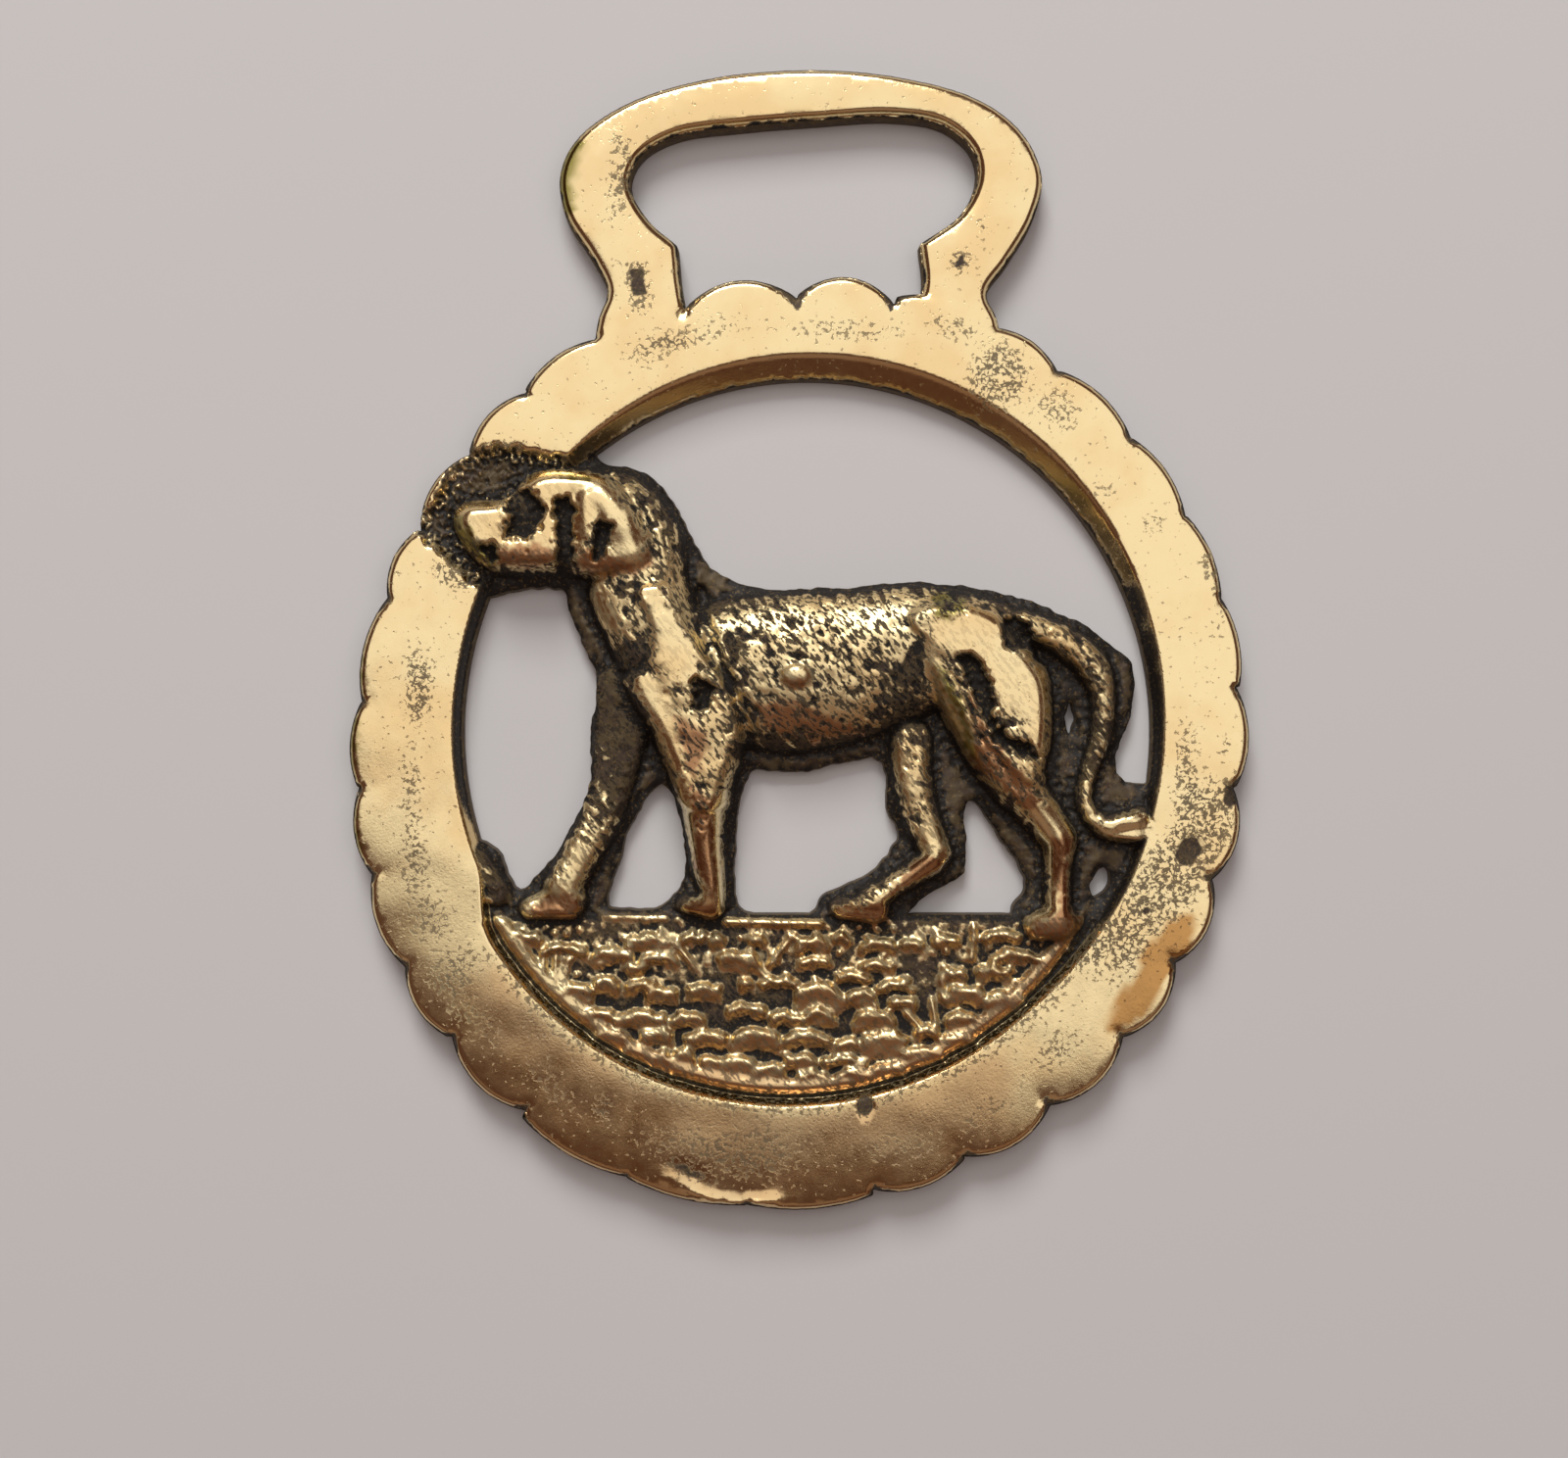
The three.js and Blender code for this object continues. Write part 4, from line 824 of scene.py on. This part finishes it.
def brassMaterial():
    made = bpy.data.materials.new("brass")
    made.use_nodes = True
    tree = made.node_tree
    shader = tree.nodes["Principled BSDF"]
    place = node(tree, "ShaderNodeTexCoord", {}, {}, "Object")

    def attribute(name):
        return node(tree, "ShaderNodeAttribute", {"attribute_name": name}, {}, "Fac")

    def noise(scale, levels=3, at=place):
        return node(tree, "ShaderNodeTexNoise", {}, {"Vector": at, "Scale": scale, "Detail": levels})

    look = brassLook
    fine, broad = noise(look["grainSize"]), noise(160, 4)
    creased = noise(look["creaseSize"], 2) - 0.5
    creases = 1 - (creased * creased).over(0, 0.003)
    pits = (noise(look["pitSize"], 3) + attribute("pitted") * (creases * 0.2 + 0.13)).over(0.64, 0.74)
    lie = look["hair"]  # fine dark hairs that lie along the body
    along = node(
        tree, "ShaderNodeMapping", {"vector_type": "TEXTURE"},
        {"Vector": place, "Rotation": (0, 0, math.radians(lie["turn"])), "Scale": (lie["long"], 1, 1)},
    )
    hairs = noise(lie["size"], 2, along).over(0.49, 0.57) * attribute("furry")
    wornLessShade = (attribute("polishLessShade") + (fine - 0.5) * 0.5).over(0.32, 0.62)
    polished = wornLessShade * (1 - pits * (attribute("pitted") * 0.4 + 0.4)) * (1 - hairs * 0.92)
    dirtAndShade = (attribute("grimeAndShade") + (fine - 0.5) * 0.5 + pits * 0.35 + hairs * 0.4).over(0.15, 0.7)
    # painted glints: tiny light-brown flecks over the dull metal
    glintFlecks = noise(look["glintFleckSize"], 2).over(0.56, 0.7)
    bare = blend(tree, broad.over(0.4, 0.66) * 0.35, look["polished"], look["warm"])
    # painted brown reflection, painted olive shade and the real stain tint the bare metal
    for name in ("copper", "olive", "stain"):
        bare = blend(tree, attribute(name), bare, look[name])
    dull = blend(tree, noise(900, 4).over(0.4, 0.6), look["tarnish"], look["moss"])
    dull = blend(tree, dirtAndShade, dull, look["grimeAndShade"])
    dull = blend(tree, glintFlecks * 0.45, dull, look["glintFleck"])
    colour = blend(tree, polished, dull, bare)
    metallic = 0.3 + glintFlecks * 0.3 + polished * 0.7
    scratched = noise(look["scratchSize"], 5)
    rough = look["grimeRough"] - polished * (look["grimeRough"] - look["polishedRough"])
    rough = rough + attribute("furry") * look["hairRough"] + (scratched - 0.5) * 0.16
    relief = fine * (1.4 - polished) * 0.5 + scratched * 0.2 - pits * 0.6 - hairs * 0.6
    bump = node(tree, "ShaderNodeBump", {}, {"Height": relief, "Strength": 0.4, "Distance": 0.00006})
    finish = {"Base Color": colour, "Metallic": metallic, "Roughness": rough, "Normal": bump}
    for name, socket in finish.items():
        tree.links.new(socket.output, shader.inputs[name])
    return made


# The mesh: a fine lattice where there is detail, a coarse one elsewhere.

casting = {
    "rim": 0.2, "rows": (0.12, 0.29, 0.5), "fine": 0.155, "plain": 0.4, "busy": 0.42, "draft": 0.13,
    "wallRows": ((0.07, 0.4), (0.93, 1.0), (1, 0)),  # share of the way down, share of the draft
    "backSpacing": 1.5, "box": (-36, 36, -37, 53), "honeycomb": 0.866,
}


def contours(field):  # closed loops where a field crosses nothing
    inside = field < 0
    mixed = inside[:-1, :-1].astype(int) + inside[1:, :-1] + inside[:-1, 1:] + inside[1:, 1:]
    links, points = {}, {}

    def crossing(p, q):
        key = (p, q) if p < q else (q, p)
        if key not in points:
            a, b = field[key[0]], field[key[1]]
            t = a / (a - b)
            points[key] = (
                columns[key[0][1]] + t * (columns[key[1][1]] - columns[key[0][1]]),
                rows[key[0][0]] + t * (rows[key[1][0]] - rows[key[0][0]]),
            )
        return key

    for i, j in np.argwhere((mixed > 0) & (mixed < 4)).tolist():
        corners = ((i, j), (i, j + 1), (i + 1, j + 1), (i + 1, j))
        sides = [(corners[k], corners[k - 3]) for k in range(4)]
        keys = [crossing(a, b) for a, b in sides if inside[a] != inside[b]]
        if len(keys) == 4 and inside[corners[0]] == (field[i : i + 2, j : j + 2].sum() < 0):
            keys = keys[1:] + keys[:1]
        for a, b in zip(keys[::2], keys[1::2]):
            links.setdefault(a, []).append(b)
            links.setdefault(b, []).append(a)
    loops, seen = [], set()
    for start in links:
        if start in seen:
            continue
        loop, here = [], start
        while here not in seen:
            seen.add(here)
            loop.append(points[here])
            here = next((k for k in links[here] if k not in seen), here)
        loops.append(np.array(loop))
    return loops


def areaOf(loop):
    x, y = loop.T
    return 0.5 * np.sum(x * np.roll(y, -1) - y * np.roll(x, -1))


def evenLoop(loop, spacing):
    closed = np.vstack([loop, loop[:1]])
    along = np.concatenate([[0], np.cumsum(np.hypot(*np.diff(closed, axis=0).T))])
    count = max(int(round(along[-1] / spacing)), 12)
    at = np.linspace(0, along[-1], count, endpoint=False)
    return np.stack([np.interp(at, along, closed[:, k]) for k in (0, 1)], 1)


def outwardOf(loop):  # away from the metal, which lies on the left of each loop
    d = np.roll(loop, -1, axis=0) - np.roll(loop, 1, axis=0)
    d /= np.linalg.norm(d, axis=1)[:, None]
    return np.stack([d[:, 1], -d[:, 0]], 1)


def edgeLoops():
    loops = [evenLoop(loop, casting["rim"]) for loop in contours(region) if abs(areaOf(loop)) > 0.3]
    outer = max(loops, key=lambda loop: abs(areaOf(loop)))
    return [loop if (areaOf(loop) > 0) == (loop is outer) else loop[::-1] for loop in loops]


def latticeLevels(spacing):  # a honeycomb lattice, and how coarse a lattice each point belongs to
    left, right, bottom, top = casting["box"]
    tall = spacing * casting["honeycomb"]
    j, i = np.mgrid[0 : int((top - bottom) / tall), 0 : int((right - left) / spacing)]
    points = np.stack([left + (i + 0.5 * (j % 2)) * spacing, bottom + j * tall], -1)
    one = (j % 2 == 0) & ((i - j // 2) % 2 == 0)
    half = (i - (j // 2) % 2) // 2
    two = one & (j % 4 == 0) & ((half - j // 4) % 2 == 0)
    return points.reshape(-1, 2), (one.astype(int) + two).ravel()


def triangulate(points, loops, starts):
    points = points.astype(np.float32).astype(float)  # Vector's own precision
    loops = [points[s : s + len(loop)] for loop, s in zip(loops, starts)]
    edges = []
    for loop, start in zip(loops, starts):
        edges += [(start + k, start + (k + 1) % len(loop)) for k in range(len(loop))]
    made = delaunay_2d_cdt([Vector(p) for p in points], edges, [], 1, 1e-6, True)
    if len(made[0]) != len(points):
        print("points merged or added:", len(made[0]) - len(points))
    origin = np.array([ids[0] if ids else -1 for ids in made[3]])
    faces = origin[np.array(made[2])]
    onEdge = faces < sum(len(loop) for loop in loops)
    doubtful = onEdge.all(axis=1)
    keep = ~doubtful
    middles = points[faces[doubtful]].mean(axis=1)
    crossings = np.zeros(len(middles), int)
    for loop in loops:
        for a, b in zip(loop, np.roll(loop, -1, axis=0)):
            if a[1] != b[1]:
                spans = (middles[:, 1] >= min(a[1], b[1])) & (middles[:, 1] < max(a[1], b[1]))
                x = a[0] + (middles[:, 1] - a[1]) * (b[0] - a[0]) / (b[1] - a[1])
                crossings += spans & (middles[:, 0] < x)
    keep[doubtful] = crossings % 2 == 1
    return faces[keep]


loops = edgeLoops()
rimPoints = np.vstack(loops)
rimOut = np.vstack([outwardOf(loop) for loop in loops])
starts = np.concatenate([[0], np.cumsum([len(loop) for loop in loops])])[:-1]
print(len(loops), "outlines with", len(rimPoints), "points")

uneven = np.abs(height - evenOut(height, 0.5)) + 0.12 * np.abs(polishLessShade - evenOut(polishLessShade, 0.5))
detail = evenOut(uneven, 0.5) * (1 - 0.7 * onFrame * (1 - inBed) * ramp(1.6, 2.4, reach - ringInner))


def frontPoints():
    kept = [rimPoints]
    for inset in casting["rows"]:
        moved = rimPoints - rimOut * inset
        found = sample(region, moved)
        kept.append(moved[np.abs(found + inset) < 0.35 * inset])
    points, level = latticeLevels(casting["fine"])
    inside = -sample(region, points) > casting["rows"][-1] + 0.1
    points, level = points[inside], level[inside]
    busy = sample(detail, points)
    coarse, middling = np.quantile(busy, (casting["plain"], 1 - casting["busy"]))
    wanted = (level == 2) | ((level >= 1) & (busy > coarse)) | (busy > middling)
    kept.append(points[wanted])
    return np.vstack(kept)


front = frontPoints()
frontFaces = triangulate(front, loops, starts)
print("front:", len(front), "points,", len(frontFaces), "triangles")


def wallsAndBack():  # rings of points from the rim down to the flat back, and the back's own faces
    smoothOut = np.vstack([
        sum(np.roll(rimOut[s : s + len(loop)], k, axis=0) for k in range(-3, 4)) / 7
        for loop, s in zip(loops, starts)
    ])
    top = np.maximum(sample(height, rimPoints - rimOut * 0.05), thinnest)
    rings = []
    for down, out in casting["wallRows"]:
        rings.append(np.column_stack([rimPoints + smoothOut * out * casting["draft"], top * (1 - down)]))
    faces, count = [], len(rimPoints)
    offsets = [0] + [len(front) + k * count for k in range(len(rings))]
    following = np.concatenate([s + (np.arange(len(loop)) + 1) % len(loop) for loop, s in zip(loops, starts)])
    here = np.arange(count)
    for a, b in zip(offsets, offsets[1:]):
        faces.append(np.column_stack([a + here, b + here, b + following]))
        faces.append(np.column_stack([a + here, b + following, a + following]))
    bottomLoops = [rings[-1][s : s + len(loop), :2] for loop, s in zip(loops, starts)]
    lattice, _ = latticeLevels(casting["backSpacing"])
    lattice = lattice[sample(region, lattice) < -0.6]
    flat = np.vstack([rings[-1][:, :2], lattice])
    under = triangulate(flat, bottomLoops, starts)[:, ::-1]
    faces.append(under + offsets[-1])
    points = np.vstack(rings + [np.column_stack([lattice, np.zeros(len(lattice))])])
    return points, np.vstack(faces)


lower, lowerFaces = wallsAndBack()
middle = np.array([0.1279, 8.0696])  # from the ring's centre to the middle of the whole casting
points = np.vstack([np.column_stack([front, np.maximum(sample(height, front), thinnest)]), lower])
faces = np.vstack([frontFaces, lowerFaces])
placed = (points - [*middle, 0]) * mm
print("casting:", len(points), "points,", len(faces), "triangles")

mesh = bpy.data.meshes.new("horseBrass")
mesh.from_pydata(placed.tolist(), [], faces.tolist())
mesh.shade_smooth()
mesh.validate()
onTop = np.arange(len(points)) < len(front)
layers = {
    "polishLessShade": polishLessShade, "grimeAndShade": grimeAndShade, "pitted": pitted, "stain": stain, "copper": copper, "olive": olive,
    "furry": furry,
}
for name, field in layers.items():
    layer = mesh.attributes.new(name, "FLOAT", "POINT")
    values = np.where(onTop, sample(field, points), 0.0)
    layer.data.foreach_set("value", values.astype(np.float32))

# The skin that the sand left, where the casting isn't polished.
sandCast = {"Grain Size": 2600.0, "Depth": 0.03 * mm, "Seed": 4.0}


def sandCastSkin():
    tree = bpy.data.node_groups.new("sandCastSkin", "GeometryNodeTree")
    face = tree.interface
    face.new_socket("Geometry", in_out="INPUT", socket_type="NodeSocketGeometry")
    for name in sandCast:
        face.new_socket(name, in_out="INPUT", socket_type="NodeSocketFloat")
    face.new_socket("Material", in_out="INPUT", socket_type="NodeSocketMaterial")
    face.new_socket("Geometry", in_out="OUTPUT", socket_type="NodeSocketGeometry")
    given, result = tree.nodes.new("NodeGroupInput"), tree.nodes.new("NodeGroupOutput")
    inputs = {s.name: Socket(tree, s) for s in given.outputs if s.name}
    noise = node(
        tree, "ShaderNodeTexNoise", {"noise_dimensions": "4D"},
        {"W": inputs["Seed"], "Scale": inputs["Grain Size"], "Detail": 2.0},
    )
    wornLessShade = node(tree, "GeometryNodeInputNamedAttribute", {"data_type": "FLOAT"}, {"Name": "polishLessShade"})
    push = (noise - 0.5) * inputs["Depth"] * (1 - wornLessShade)
    normal = node(tree, "GeometryNodeInputNormal", {}, {})
    offset = node(tree, "ShaderNodeVectorMath", {"operation": "SCALE"}, {0: normal, "Scale": push})
    moved = node(tree, "GeometryNodeSetPosition", {}, {"Geometry": inputs["Geometry"], "Offset": offset})
    real = node(tree, "GeometryNodeRealizeInstances", {}, {"Geometry": moved})
    painted = node(tree, "GeometryNodeSetMaterial", {}, {"Geometry": real, "Material": inputs["Material"]})
    tree.links.new(painted.output, result.inputs["Geometry"])
    return tree


rawCasting = addObject("rawCasting", mesh)
skin = rawCasting.modifiers.new("sandCastSkin", "NODES")
skin.node_group = sandCastSkin()
for item in skin.node_group.interface.items_tree:
    if item.in_out == "INPUT" and item.name in sandCast:
        skin[item.identifier] = sandCast[item.name]
    elif item.name == "Material":
        skin[item.identifier] = brassMaterial()
seen = rawCasting.evaluated_get(bpy.context.evaluated_depsgraph_get())
finished = bpy.data.meshes.new_from_object(seen)
finished.name = "horseBrass"
bpy.data.objects.remove(rawCasting)
brassPiece = addObject("horseBrass", finished)
print("skin roughened")
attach(brassPiece, "root")
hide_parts("horse_brass")

# The floor, the light and the camera.

studio = {
    "floor": "d6d5d4", "world": "8c6456", "worldStrength": 0.38,
    "softbox": {"middle": (0.03, 0.16, 0.6), "size": (0.9, 0.56), "power": 1.62, "roll": -6},
    "fill": {"middle": (0.0, -0.58, 0.55), "size": (1.4, 0.5), "power": 0.5, "colour": "e2c9b8"},
    "key": {"middle": (-0.12, 0.75, 0.6), "size": (0.4, 0.4), "power": 6.0},
    "camera": (-1.06, 1.21), "away": 190.0, "covers": 121.2, "atHeight": 2.9,
}

floorMesh = bpy.data.meshes.new("floor")
floorMesh.from_pydata([(-2, -2, 0), (2, -2, 0), (2, 2, 0), (-2, 2, 0)], [], [(0, 1, 2, 3)])
floor = addObject("floor", floorMesh)
paper = bpy.data.materials.new("paper")
paper.use_nodes = True
surface = paper.node_tree.nodes["Principled BSDF"].inputs
surface["Base Color"].default_value = linear(studio["floor"])
surface["Roughness"].default_value = 0.9
floorMesh.materials.append(paper)


def softbox(name, middle, size, power, roll=0, colour="ffffff"):
    light = bpy.data.lights.new(name, "AREA")
    light.shape = "RECTANGLE"
    light.size, light.size_y = size
    light.energy = power
    light.color = linear(colour)[:3]
    made = addObject(name, light)
    made.location = middle
    made.rotation_euler = (-Vector(middle)).to_track_quat("-Z", "Y").to_euler()
    made.rotation_euler.rotate_axis("Z", math.radians(roll))


for name in ("softbox", "fill", "key"):
    softbox(name, **studio[name])
world = bpy.data.worlds.new("world")
bpy.context.scene.world = world
world.use_nodes = True
background = world.node_tree.nodes["Background"].inputs
background["Color"].default_value = linear(studio["world"])
background["Strength"].default_value = studio["worldStrength"]

lens = bpy.data.cameras.new("camera")
lens.sensor_width = 36
lens.lens = 36 * (studio["away"] - studio["atHeight"]) / studio["covers"]
lens.clip_start, lens.clip_end = 0.01, 10
camera = addObject("camera", lens)
camera.location = [(c - m) * mm for c, m in zip(studio["camera"], middle)] + [studio["away"] * mm]
bpy.context.scene.camera = camera
bpy.context.scene.view_settings.view_transform = "Standard"
